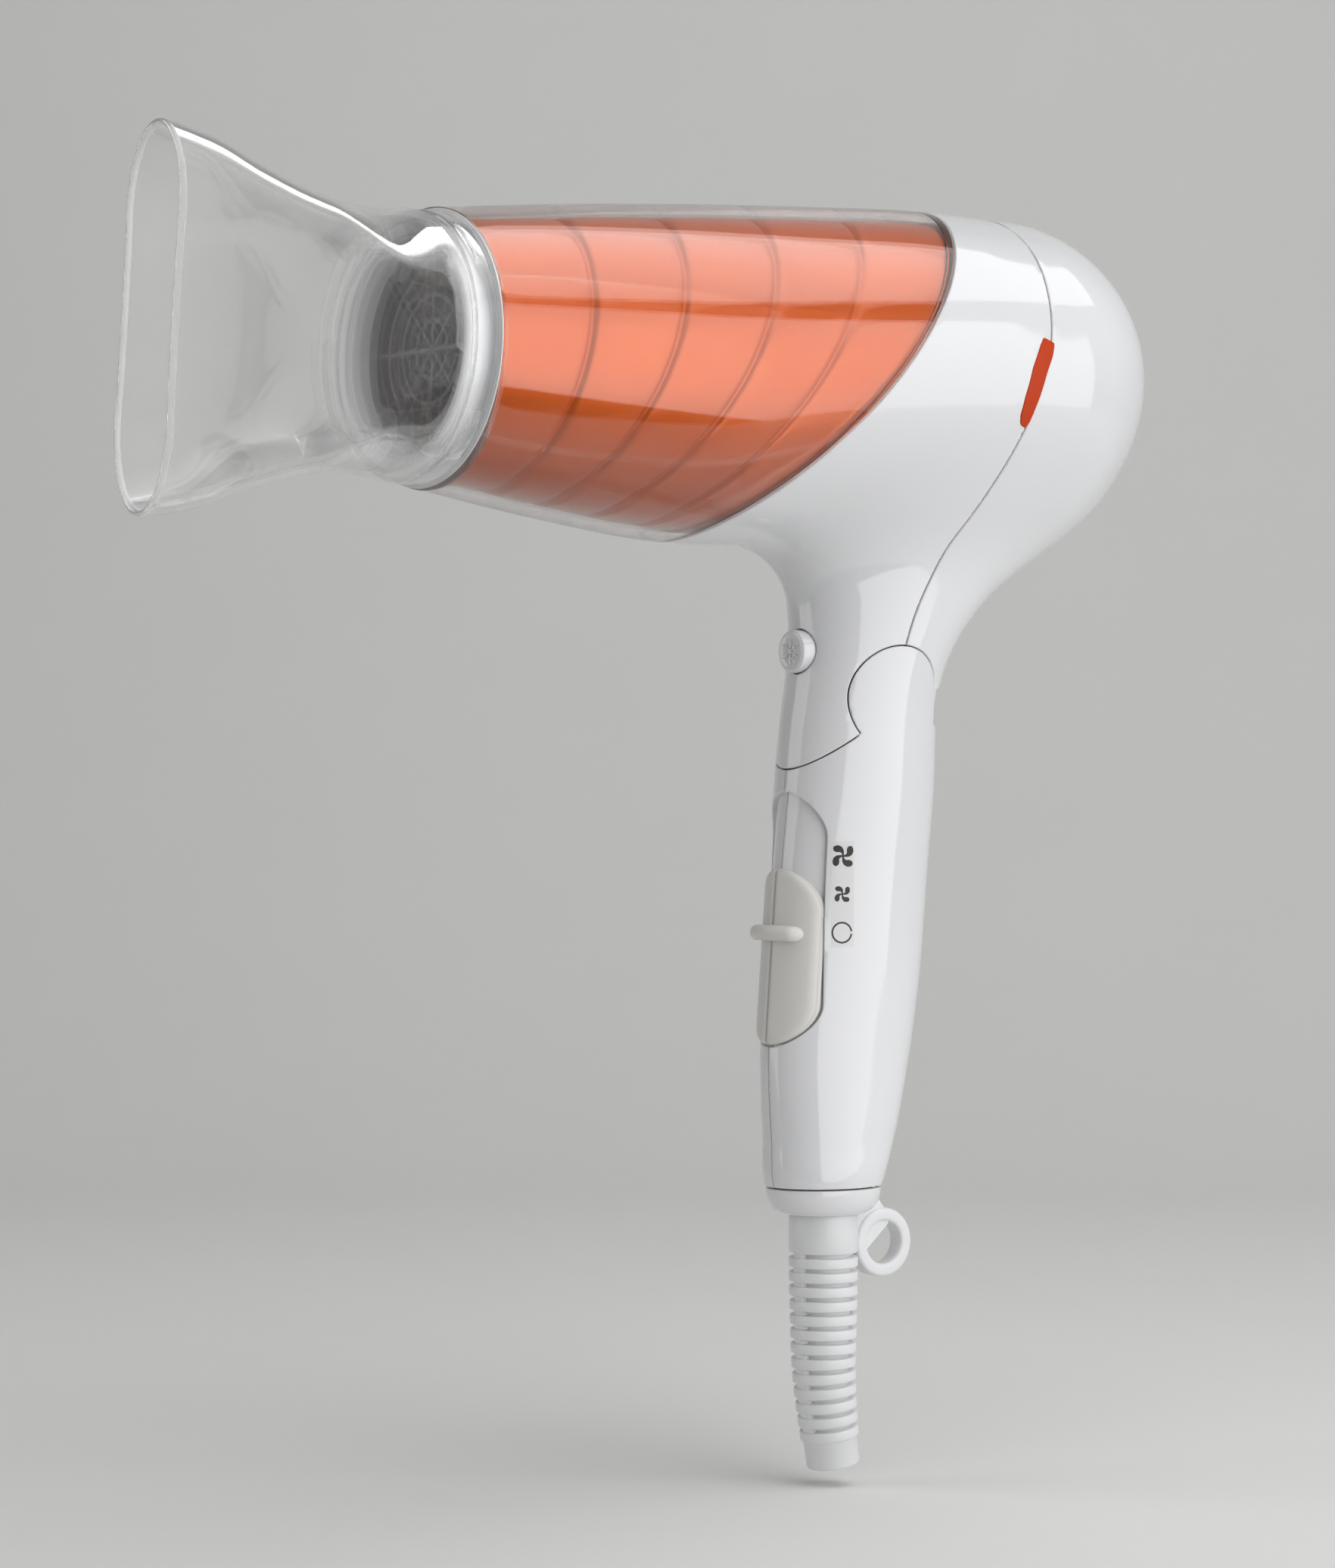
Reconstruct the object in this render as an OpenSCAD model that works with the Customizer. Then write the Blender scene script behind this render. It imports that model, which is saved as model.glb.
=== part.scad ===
// Hair dryer with a folding handle, a see-through barrel and a pull-off nozzle.
// Millimetres, +Z up. The nozzle points along -X, and Y = 0 is the plane of symmetry.
// The origin is the centre of the hanging loop.

/* [Barrel] */
// Radius of the barrel at its front ring
front_r = 32; // [31.5:0.1:32.5]
// Thickness of the clear cover
cover_t = 2.4; // [2:0.1:2.6]
// Thickness of the coloured liner
liner_t = 1.2; // [1:0.1:1.4]
// Air gap between the cover and the liner
air_gap = 0.6; // [0.4:0.1:0.8]

/* [Housing] */
// Wall thickness of the white shells
wall = 2.2; // [2:0.1:2.6]
// Gap along the seams between shells
seam = 0.3; // [0.2:0.05:0.4]
// Radius of the round bulb at the back
bulb_r = 40; // [39.5:0.1:40.5]
// Radius of the air inlet
inlet_r = 21.5; // [20:0.5:22]

/* [Fold] */
// Radius of the round knuckle at the top of the handle
knuckle_r = 13.5; // [13:0.1:14]
// Largest fold angle, in degrees
fold_max = 30; // [20:1:30]
// Radius of the hinge pin
pin_r = 2.5; // [2:0.1:3]
// Half length of the hinge pin
pin_half = 12.5; // [11:0.5:13]

/* [Controls] */
// Height of the thumb slider
slider_h = 42.6; // [40:0.2:44]
// Width of the thumb slider
slider_w = 20.8; // [20:0.2:21]
// Radius of the cool air button
button_r = 5.2; // [5:0.1:5.4]

/* [Strain relief] */
// Radius over the ribs
sleeve_r = 8.4; // [8:0.1:8.6]
// Radius of the hanging loop's hole
loop_hole_r = 5.25; // [5:0.05:5.5]
// Outer radius of the hanging loop
loop_r = 8.4; // [8.2:0.1:8.6]
// Thickness of the hanging loop
loop_t = 5; // [4:0.5:6]
// Number of ribs
ribs = 13; // [12:1:14]

/* [Fan] */
// Number of impeller blades
blades = 7; // [5:1:9]
// Number of stator vanes
vanes = 5; // [3:1:7]
// Radius over the impeller blades
blade_r = 29; // [28:0.5:30]

/* [Hidden] */

// Where things are, in the handle's frame: X = 0 on the handle's foot, Z = 0 at the end cap's foot.
loop_at = [17, 0, -8];
hinge = [11.5, 0, 123.5];
bulb = [50, 0, 203.5];
front_x = -112;
front_z = 202.1;
tilt = 1.8;
axis_z = 202;
button_at = [-6.5, 0, 135.6];
cap_z = 6.6;
inner_wall = cover_t + air_gap;

// Sections of the head: [x, centre height, radius].
HEAD = [[-112, 202.1, front_r], [-80, 201, 36.3], [-46, 200.3, 39.7], [-10, 201.7, 40.6],
    [25, 203.3, 40.6], [50, 203.5, 40]];
// Sections of the handle and the neck: [z, centre x, half depth, half width].
COLUMN = [[0, 0, 9.5, 8.5], [1.5, 0, 12.6, 11], [6.6, 0, 14.9, 12.7], [18, 1.6, 17.4, 13.2],
    [37, 3.5, 20.2, 13.6], [58, 5.6, 21.4, 14.4], [82, 7.4, 21.6, 15.2], [105, 9.6, 21.3, 16],
    [118, 10.6, 20.8, 16], [130, 12.5, 20.8, 16.2], [140, 15.7, 23.2, 17.6], [149, 19.6, 27.8, 19.8],
    [156, 17, 39, 22.2], [163, 16, 51, 25], [172, 23, 53.4, 28.8], [182, 30, 53, 33]];
// Sections of the nozzle: [x, centre height, half height, half width].
NOZZLE = [[-120.4, 202.3, 31, 31], [-126, 202.5, 30.2, 30], [-136, 202.9, 30, 27], [-146, 203.2, 31, 23.4],
    [-155, 203.5, 33.8, 20.2], [-163, 203.8, 37, 17.6], [-171, 204.1, 40.3, 15.4], [-178, 204.3, 42, 13.9],
    [-184.6, 204.5, 43.1, 12.7]];

// Place on the barrel's tilted axis, a distance s in front of the front ring.
function on_axis(s) = [front_x - s * cos(tilt), 0, front_z + s * sin(tilt)];

module placed() { translate(-loop_at) children(); }

// A solid round about the barrel's axis, with its local Z pointing out of the nozzle.
module along_barrel(s = 0) { translate(on_axis(s)) rotate([0, -90 + tilt, 0]) children(); }

// Round about a level line through the head, with its local Z pointing to the back.
module along_head(x) { translate([x, 0, axis_z]) rotate([0, 90, 0]) children(); }

// A flat outline in X and Z, drawn out to both sides along Y.
module side_prism(width = 120) { rotate([90, 0, 0]) linear_extrude(width, center = true) children(); }

module head_disc(k, inset) {
    translate([k[0], 0, k[1]]) rotate([0, 90, 0]) cylinder(h = 0.02, r = k[2] - inset, $fn = 44);
}

module head_loft(inset = 0) {
    for (i = [0:len(HEAD) - 2]) hull() {
        head_disc(HEAD[i], inset);
        head_disc(HEAD[i + 1], inset);
    }
}

module column_disc(k, inset) {
    translate([k[1], 0, k[0]]) scale([(k[2] - inset) / 20, (k[3] - inset) / 20, 1])
        cylinder(h = 0.02, r = 20, $fn = 36);
}

module column_loft(first, last, inset = 0) {
    for (i = [first:last - 1]) hull() {
        column_disc(COLUMN[i], inset);
        column_disc(COLUMN[i + 1], inset);
    }
}

module white_solid(inset = 0) {
    head_loft(inset);
    translate(bulb) sphere(r = bulb_r - inset, $fn = 44);
    column_loft(6, len(COLUMN) - 1, inset);
}

// The slanted edge where the clear barrel meets the white housing is one large arc.
edge_arc_r = 358;
edge_arc_at = [-277.7, 0, 434.2];
module in_front_of_edge(grow = 0) {
    translate(edge_arc_at) rotate([90, 0, 0])
        cylinder(h = 140, r = edge_arc_r + grow, center = true, $fn = 360);
}

// The seam between the front housing and the rear cover, seen from the side.
COVER_SEAM = [[44, 260], [43.4, 238], [42.1, 229.4], [40.6, 221.3], [38.5, 210.4], [32, 188.8], [27.5, 175.5],
    [24.4, 167.4], [21.2, 160.9], [18.3, 153.5], [15.1, 146], [12.2, 136.4]];

module behind_cover_seam() { polygon(concat(COVER_SEAM, [[12.2, 90], [110, 90], [110, 260]])); }

// Head side of the fold: everything above the chin, the knuckle and the skirt.
chin_angle = 215;
skirt_angle = 12;
function round_hinge(r, a) = [hinge[0] + r * cos(a), hinge[2] + r * sin(a)];

module head_side() {
    difference() {
        polygon([round_hinge(0, 0), round_hinge(60, skirt_angle), [120, 260], [-130, 260], [-130, 150],
            round_hinge(60, chin_angle)]);
        translate([hinge[0], hinge[2]]) circle(r = knuckle_r + seam / 2, $fn = 72);
    }
}

module handle_side() {
    difference() {
        union() {
            polygon([round_hinge(0, 0), round_hinge(60, chin_angle), [-60, -20], [80, -20],
                round_hinge(60, skirt_angle - fold_max - 2)]);
            translate([hinge[0], hinge[2]]) circle(r = knuckle_r - seam / 2, $fn = 72);
        }
        // The chin stands on the handle, one seam apart.
        translate(round_hinge(0, 0)) rotate(chin_angle) translate([0, -seam]) square([60, seam]);
    }
}

// The nozzle stands a little turned about the barrel.
nozzle_twist = 7;
module nozzle_disc(k, inset) {
    for (s = [-1, 1]) translate([k[0], 0, k[1]]) rotate([nozzle_twist, 0, 0]) translate([0, 0, s * (k[2] - k[3])])
        rotate([0, 90, 0]) cylinder(h = 0.02, r = k[3] - inset, $fn = 40);
}

module nozzle_loft(inset = 0) {
    for (i = [0:len(NOZZLE) - 2]) hull() {
        nozzle_disc(NOZZLE[i], inset);
        nozzle_disc(NOZZLE[i + 1], inset);
    }
}

// ---- Nozzle and outlet ----

nozzle_t = 1.5;
module nozzle() {
    color("gainsboro", 0.35) placed() difference() {
        nozzle_loft();
        nozzle_loft(nozzle_t);
        for (k = [NOZZLE[0], NOZZLE[len(NOZZLE) - 1]]) hull() for (dx = [-0.6, 0.6])
            translate([dx, 0, 0]) nozzle_disc(k, nozzle_t);
    }
}

ring_in = 28.6;
ring_out = 31;
module nozzle_ring() {
    color("whitesmoke", 0.4) placed() along_barrel(1.6) difference() {
        union() {
            cylinder(h = 5.2, r = ring_out, $fn = 96);
            for (a = [45:90:315]) rotate(a) translate([ring_out - 1, -7, 1.4]) cube([1.8, 14, 2.4]);
        }
        translate([0, 0, -1]) cylinder(h = 9, r = ring_in, $fn = 96);
    }
}

spigot_r = 28.2;
outlet_r = 23.6;
module outlet_ring() {
    color("white") placed() along_barrel(-3) difference() {
        union() {
            translate([0, 0, 3.6]) cylinder(h = 7, r = spigot_r, $fn = 96);
            cylinder(h = 4, r = front_r - inner_wall - liner_t - 0.6, $fn = 96);
        }
        translate([0, 0, -1]) cylinder(h = 13, r = outlet_r + 1.6, $fn = 96);
    }
}

module outlet_grille() {
    color("dimgray") placed() along_barrel(-2.4) {
        for (r = [7, 12.5, 18]) rotate_extrude($fn = 72) translate([r, 0]) square([1, 2.4]);
        rotate_extrude($fn = 96) translate([outlet_r, 0]) square([1.3, 4]);
        for (a = [0:45:135]) rotate(a) translate([-outlet_r - 0.4, -0.5, 0.2]) cube([2 * outlet_r + 0.8, 1, 2]);
    }
}

// ---- Barrel ----

module barrel_band(outer, thickness, x0) {
    intersection() {
        difference() {
            head_loft(outer);
            head_loft(outer + thickness);
            translate([front_x - 1, 0, front_z]) rotate([0, 90, 0])
                cylinder(h = 1.5, r = front_r - outer - thickness, $fn = 44);
        }
        in_front_of_edge(-seam / 2);
        translate([x0, -60, 120]) cube([200, 120, 160]);
    }
}

module barrel_cover() { color("mistyrose", 0.35) placed() barrel_band(0, cover_t, front_x - 1); }

module barrel_liner() { color("orangered") placed() barrel_band(inner_wall, liner_t, front_x + 0.3); }

// ---- Heater ----

heater_r = 26;
heater_front = -104;
heater_back = -14;
module heater_tube() {
    color("tan") placed() along_head(heater_front) difference() {
        cylinder(h = heater_back - heater_front, r = heater_r + 0.8, $fn = 96);
        translate([0, 0, -1]) cylinder(h = heater_back - heater_front + 2, r = heater_r, $fn = 96);
    }
}

board_t = 0.6;
coil_r = 23.4;
module heater_boards() {
    color("burlywood") placed() along_head(heater_front + 3) for (a = [0, 90]) rotate(a)
        translate([-coil_r + 0.8, -board_t / 2, 0]) cube([2 * coil_r - 1.6, board_t, 84]);
}

coil_turns = 15;
module heater_coils() {
    color("silver") placed() for (i = [0:coil_turns - 1]) along_head(heater_front + 8 + i * 5)
        rotate_extrude($fn = 60) translate([coil_r, 0]) circle(r = 0.5, $fn = 16);
}

module thermostat() {
    color("darkgoldenrod") placed() translate([-30, board_t / 2, axis_z + 4]) {
        cube([10, 4, 6]);
        translate([10, 1, 1]) cube([3, 0.6, 4]);
    }
}

module thermal_fuse() {
    color("lightgray") placed() along_head(-45) translate([8, -2.4, 0]) cylinder(h = 10, r = 2, $fn = 32);
}

// ---- Fan ----

duct_r = 31;
duct_back = 50;
hub_r = 13.4;
motor_r = 12;
module fan_housing() {
    color("lightgray") placed() along_head(4) {
        difference() {
            cylinder(h = duct_back - 4, r = duct_r, $fn = 96);
            translate([0, 0, -1]) cylinder(h = duct_back, r = duct_r - 1.4, $fn = 96);
        }
        difference() {
            cylinder(h = 24, r = hub_r, $fn = 64);
            translate([0, 0, -1]) cylinder(h = 26, r = motor_r + 0.1, $fn = 64);
        }
        for (i = [0:vanes - 1]) rotate(i * 360 / vanes) translate([hub_r - 0.5, -0.75, 2])
            cube([duct_r - hub_r - 0.4, 1.5, 18]);
    }
}

shaft_r = 1;
module motor() {
    color("slategray") placed() along_head(2) difference() {
        union() {
            cylinder(h = 24, r = motor_r, $fn = 64);
            translate([0, 0, -2]) cylinder(h = 28, r = 3.5, $fn = 32);
        }
        translate([0, 0, -3]) cylinder(h = 32, r = shaft_r + 0.05, $fn = 32);
    }
}

module motor_shaft() {
    color("silver") placed() along_head(-4) cylinder(h = 47, r = shaft_r, $fn = 32);
}

impeller_at = 30;
impeller_h = 12;
module impeller() {
    color("dimgray") placed() along_head(impeller_at) {
        difference() {
            cylinder(h = impeller_h, r = 12.5, $fn = 64);
            translate([0, 0, -1]) cylinder(h = impeller_h + 2, r = shaft_r, $fn = 32);
        }
        for (i = [0:blades - 1]) rotate(i * 360 / blades) translate([12, 0, impeller_h / 2])
            rotate([38, 0, 0]) translate([0, -0.6, -7]) cube([blade_r - 12.2, 1.2, 14]);
    }
}

// ---- White housing ----

button_hole_r = button_r + 0.35;
module button_bore() {
    translate(button_at) rotate([0, -90, 0]) translate([0, 0, -12]) cylinder(h = 30, r = button_hole_r, $fn = 48);
}

// Side outline of the coloured tab, whose back edge lies along the rear seam: [x, z, radius].
TAB = [[36.3, 207.2, 2.3], [34, 202.3, 2.3], [32, 195.3, 2.2], [31.1, 190.4, 1.5]];
module tab_outline() {
    for (i = [0:len(TAB) - 2]) hull() for (k = [TAB[i], TAB[i + 1]])
        translate([k[0], k[1]]) circle(r = k[2], $fn = 24);
}

module front_housing() {
    color("white") placed() difference() {
        intersection() {
            white_solid();
            side_prism() difference() {
                head_side();
                offset(delta = seam / 2) behind_cover_seam();
                offset(delta = seam) tab_outline();
            }
        }
        white_solid(wall);
        in_front_of_edge(seam / 2);
        button_bore();
    }
}

module rear_cover() {
    color("white") placed() difference() {
        intersection() {
            white_solid();
            side_prism() intersection() {
                head_side();
                offset(delta = -seam / 2) behind_cover_seam();
            }
        }
        white_solid(wall);
        side_prism() offset(delta = seam) tab_outline();
        along_head(60) cylinder(h = 40, r = inlet_r + seam, $fn = 60);
        // Room for the drum of the handle, which the skirt slides over.
        translate(hinge) rotate([90, 0, 0]) cylinder(h = 2 * drum_half + 0.8, r = drum_r + 0.35, center = true, $fn = 72);
    }
}

module inlet_grille() {
    color("gainsboro") placed() {
        intersection() {
            difference() {
                translate(bulb) sphere(r = bulb_r - 0.6, $fn = 64);
                translate(bulb) sphere(r = bulb_r - 3, $fn = 64);
            }
            along_head(60) union() {
                for (r = [0, 5.2, 10.4, 15.6]) difference() {
                    cylinder(h = 40, r = r + 2.4, $fn = 60);
                    if (r > 0) translate([0, 0, -1]) cylinder(h = 42, r = r, $fn = 60);
                }
                difference() {
                    cylinder(h = 40, r = inlet_r, $fn = 60);
                    translate([0, 0, -1]) cylinder(h = 42, r = inlet_r - 1.6, $fn = 60);
                }
                for (a = [0:45:135]) rotate(a) translate([-inlet_r + 0.5, -0.8, 0]) cube([2 * inlet_r - 1, 1.6, 40]);
            }
        }
    }
}

module filter_mesh() {
    color("darkgray") placed() along_head(77.5) difference() {
        cylinder(h = 1, r = 20, $fn = 60);
        for (x = [-12:6:12], y = [-12:6:12]) translate([x, y, -1]) cylinder(h = 3, r = 2.2, $fn = 20);
    }
}

module side_tabs() {
    color("orangered") placed() for (s = [-1, 1]) intersection() {
        difference() {
            white_solid(-0.25);
            white_solid(wall + 0.8);
        }
        translate([0, s * 35, 0]) side_prism(30) tab_outline();
    }
}

// ---- Cool air button ----

module cool_button() {
    color("white") placed() translate(button_at) rotate([0, -90, 0]) union() {
        translate([0, 0, -4.6]) cylinder(h = 8.2, r = button_r, $fn = 48);
        translate([0, 0, -4.4]) cylinder(h = 1.2, r = button_r + 1.2, $fn = 48);
        translate([0, 0, 3.4]) for (a = [0:60:120]) rotate(a) translate([-3.2, -0.3, 0]) cube([6.4, 0.6, 0.5]);
    }
}

module button_spring() {
    color("silver") placed() translate(button_at) rotate([0, -90, 0]) for (i = [0:3])
        translate([0, 0, -8.6 + i * 1.1]) rotate_extrude($fn = 40) translate([3, 0]) circle(r = 0.3, $fn = 14);
}

module button_switch() {
    color("dimgray") placed() translate(button_at) rotate([0, -90, 0]) translate([-4, -4, -12.2]) cube([8, 8, 3]);
}

// ---- Fold ----

drum_r = 18.2;
drum_half = 8.6;
tongue_half = 4;
module fold_tongue() {
    color("whitesmoke") placed() difference() {
        union() {
            translate(hinge) rotate([90, 0, 0]) cylinder(h = 2 * tongue_half, r = 7, center = true, $fn = 64);
            translate([hinge[0] - 5.5, -tongue_half, hinge[2]]) cube([11, 2 * tongue_half, 30]);
            translate([hinge[0] - 5.5, -15.8, hinge[2] + 26]) cube([11, 31.6, 4]);
        }
        translate(hinge) rotate([90, 0, 0]) cylinder(h = 40, r = pin_r + 0.05, center = true, $fn = 48);
    }
}

module hinge_pin() {
    color("silver") placed() translate(hinge) rotate([90, 0, 0])
        cylinder(h = 2 * pin_half, r = pin_r, center = true, $fn = 48);
}

module hinge_washers() {
    color("gold") placed() for (s = [-1, 1]) translate([hinge[0], s * 4.65, hinge[2]]) rotate([90, 0, 0])
        difference() {
            cylinder(h = 0.6, r = 6, center = true, $fn = 48);
            cylinder(h = 2, r = pin_r + 0.1, center = true, $fn = 48);
        }
}

// ---- Handle ----

recess_w = 21.8;
recess_top = 61;
slide_lean = 4.4;
// The slider's own frame: local Z runs up the front line of the handle, and local X points inwards.
module slide_frame() { translate([-16.5, 0, 41]) rotate([0, slide_lean, 0]) children(); }

// Rounded front of the handle in the slider's frame, moved out by grow.
module front_round(grow) {
    translate([20.9, 0, -20]) scale([(20.9 + grow) / 20, (14.3 + grow) / 20, 1]) cylinder(h = 110, r = 20, $fn = 56);
}

module stadium(w, z0, z1) {
    hull() for (z = [z0 + w / 2, z1 - w / 2]) translate([0, z]) circle(d = w, $fn = 40);
}

// A front outline drawn out along local X, from x0 to x1.
module front_prism(x0, x1) {
    translate([x1, 0, 0]) rotate([90, 0, -90]) linear_extrude(x1 - x0) children();
}

screw_x = 8;
screw_levels = [24, 100];
module at_screws() {
    for (z = screw_levels) translate([screw_x, 0, z]) rotate([-90, 0, 0]) children();
}

module handle_body() {
    difference() {
        union() {
            intersection() {
                difference() {
                    column_loft(2, 10);
                    column_loft(2, 10, wall);
                    column_disc(COLUMN[2], wall);
                }
                side_prism() handle_side();
            }
            recess_floor();
            // Bosses for the screws that join the two halves.
            intersection() {
                at_screws() cylinder(h = 30, r = 4, center = true, $fn = 32);
                column_loft(2, 10, 1);
            }
            // Bosses that hold the hinge pin.
            intersection() {
                for (s = [-1, 1]) translate([hinge[0], s * 10, hinge[2]]) rotate([90, 0, 0])
                    cylinder(h = 9.4, r = 6.2, center = true, $fn = 40);
                column_loft(7, 10, 1);
            }
            // Drum that closes the back of the knuckle as the head folds.
            intersection() {
                translate(hinge) rotate([90, 0, 0]) difference() {
                    cylinder(h = 2 * drum_half, r = drum_r, center = true, $fn = 72);
                    cylinder(h = 40, r = drum_r - 2, center = true, $fn = 72);
                }
                side_prism() polygon([round_hinge(6, 0), round_hinge(40, -28), round_hinge(40, 34)]);
            }
        }
        translate(hinge) rotate([90, 0, 0]) cylinder(h = 2 * pin_half + 0.6, r = pin_r + 0.2, center = true, $fn = 40);
        // Recess and window for the thumb slider.
        slide_frame() difference() {
            front_prism(-8, 14) stadium(recess_w, -0.4, recess_top);
            front_round(-recess_depth);
        }
        slide_frame() front_prism(-8, 8) translate([-3.2, 12]) square([6.4, 34]);
        at_screws() cylinder(h = 30, r = 1.5, center = true, $fn = 24);
    }
}

recess_depth = 1.3;
module recess_floor() {
    intersection() {
        column_loft(3, 8, 0.5);
        slide_frame() difference() {
            front_prism(-8, 14) stadium(recess_w + 3, -2, recess_top + 2);
            front_round(-recess_depth - 1.6);
        }
        side_prism() handle_side();
    }
}

// One half of the handle, on the +Y side.
module handle_half() {
    intersection() {
        handle_body();
        translate([-60, seam / 4, cap_z + 0.1]) cube([160, 60, 200]);
    }
}

module handle_left() {
    color("white") placed() difference() {
        handle_half();
        at_screws() translate([0, 0, 6.8]) cylinder(h = 30, r = 3, $fn = 32);
    }
}

module handle_right() { color("white") placed() mirror([0, 1, 0]) handle_half(); }

module handle_screws() {
    color("silver") placed() at_screws() {
        translate([0, 0, -8]) cylinder(h = 15.2, r = 1.25, $fn = 24);
        difference() {
            translate([0, 0, 7]) cylinder(h = 1.8, r = 2.6, $fn = 24);
            for (a = [0, 90]) rotate(a) translate([-1.6, -0.3, 7.9]) cube([3.2, 0.6, 2]);
        }
    }
}

// Curved plate of the slider, with a thumb bar and the stem that drives the switch.
slider_proud = 1.2;
bar_z = 27;
bar_l = 14;
module thumb_slider() {
    color("ivory") placed() slide_frame() {
        intersection() {
            difference() {
                front_round(slider_proud);
                front_round(0.3 - recess_depth);
            }
            front_prism(-8, 14) stadium(slider_w, 0.2, slider_h);
        }
        hull() for (x = [-slider_proud - 1.6, 0.4 - slider_proud]) translate([x, 0, bar_z]) rotate([90, 0, 0])
            cylinder(h = bar_l, r = 1.9, center = true, $fn = 32);
        translate([0, -2.4, 17]) cube([13, 4.8, 8]);
    }
}

module slide_plate() {
    color("gray") placed() slide_frame() difference() {
        translate([6.4, -6.2, 6]) cube([1, 12.4, 50]);
        translate([6, -3.2, 12]) cube([3, 6.4, 34]);
    }
}

module switch_block() {
    color("dimgray") placed() slide_frame() difference() {
        translate([7.8, -6.2, 8]) cube([10, 12.4, 44]);
        translate([7, -3.2, 12]) cube([7, 6.4, 34]);
    }
}

module circuit_board() {
    color("darkgreen") placed() slide_frame() translate([18.8, -9, -6]) cube([1.6, 18, 54]);
}

module suppressor() {
    color("goldenrod") placed() slide_frame() translate([20.4, -5, 8]) cube([6, 10, 14]);
}

module supply_leads() {
    color("saddlebrown") placed() for (s = [-1, 1]) translate([0, s * 2.6, 17.2]) cylinder(h = 27, r = 1.2, $fn = 20);
}

// ---- Foot ----

module end_cap() {
    color("white") placed() difference() {
        union() {
            column_loft(0, 2);
            translate([0, 0, cap_z]) scale([(14.9 - wall - 0.3) / 10, (12.7 - wall - 0.3) / 10, 1])
                cylinder(h = 5, r = 10, $fn = 36);
        }
        translate([0, 0, 2]) scale([1.08, 0.88, 1]) cylinder(h = 12, r = 10, $fn = 36);
        translate([0, 0, -1]) cylinder(h = 6, r = 5.4, $fn = 40);
    }
}

module cord_clamp() {
    color("gainsboro") placed() difference() {
        translate([-9, -6, 13]) cube([18, 12, 4]);
        translate([0, 0, 12]) cylinder(h = 6, r = 4.2, $fn = 32);
    }
}

rib_pitch = 3.45;
collar_h = 9.4;
sleeve_len = 50;
stub_r = 6.2;
bore_r = 3.3;
sleeve_tilt = 2;
module strain_relief() {
    color("white") placed() {
        difference() {
            union() {
                translate([0, 0, -collar_h]) cylinder(h = collar_h - 0.05, r = sleeve_r, $fn = 64);
                translate([0, 0, -0.5]) cylinder(h = 3, r = 5, $fn = 48);
                rotate([0, -sleeve_tilt, 0]) {
                    translate([0, 0, -62]) cylinder(h = 55, r = stub_r, $fn = 64);
                    for (i = [0:ribs - 1]) translate([0, 0, -collar_h - 3.2 - i * rib_pitch])
                        cylinder(h = 2, r = sleeve_r - 0.9 * i / ribs, $fn = 64);
                    translate([-sleeve_r + 1.2, -1, -collar_h - ribs * rib_pitch]) cube([2, 2, ribs * rib_pitch + 2]);
                    translate([sleeve_r - 3.2, -1, -collar_h - ribs * rib_pitch]) cube([2, 2, ribs * rib_pitch + 2]);
                }
                translate(loop_at) rotate([90, 0, 0]) cylinder(h = loop_t, r = loop_r, center = true, $fn = 72);
                translate([6, -loop_t / 2, -7.5]) cube([6, loop_t, 7]);
            }
            rotate([0, -sleeve_tilt, 0]) translate([0, 0, -64]) cylinder(h = 70, r = bore_r, $fn = 48);
            translate(loop_at) rotate([90, 0, 0]) cylinder(h = 20, r = loop_hole_r, center = true, $fn = 72);
        }
    }
}

nozzle();
nozzle_ring();
outlet_ring();
outlet_grille();
barrel_cover();
barrel_liner();
heater_tube();
heater_boards();
heater_coils();
thermostat();
thermal_fuse();
fan_housing();
motor();
motor_shaft();
impeller();
front_housing();
rear_cover();
inlet_grille();
filter_mesh();
side_tabs();
cool_button();
button_spring();
button_switch();
fold_tongue();
hinge_pin();
hinge_washers();
handle_left();
handle_right();
handle_screws();
thumb_slider();
slide_plate();
switch_block();
circuit_board();
suppressor();
supply_leads();
end_cap();
cord_clamp();
strain_relief();
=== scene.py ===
"""Hair dryer with a folding handle: the visible pieces, their materials, and a plain studio."""

import math

import bmesh
import bpy
import numpy as np
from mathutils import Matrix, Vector


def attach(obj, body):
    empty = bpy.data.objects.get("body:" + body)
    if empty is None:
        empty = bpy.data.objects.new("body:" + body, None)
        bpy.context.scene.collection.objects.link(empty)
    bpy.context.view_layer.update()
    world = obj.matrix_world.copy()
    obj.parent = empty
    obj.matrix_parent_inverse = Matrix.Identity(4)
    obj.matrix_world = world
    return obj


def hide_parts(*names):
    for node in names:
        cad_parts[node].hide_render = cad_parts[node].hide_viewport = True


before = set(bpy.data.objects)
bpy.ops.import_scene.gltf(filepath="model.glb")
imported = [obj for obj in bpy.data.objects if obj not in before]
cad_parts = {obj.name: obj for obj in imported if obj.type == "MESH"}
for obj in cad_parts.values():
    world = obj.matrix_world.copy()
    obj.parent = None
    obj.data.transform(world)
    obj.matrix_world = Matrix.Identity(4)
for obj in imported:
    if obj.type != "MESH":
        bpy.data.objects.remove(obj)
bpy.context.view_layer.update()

MM = 0.001

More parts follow.
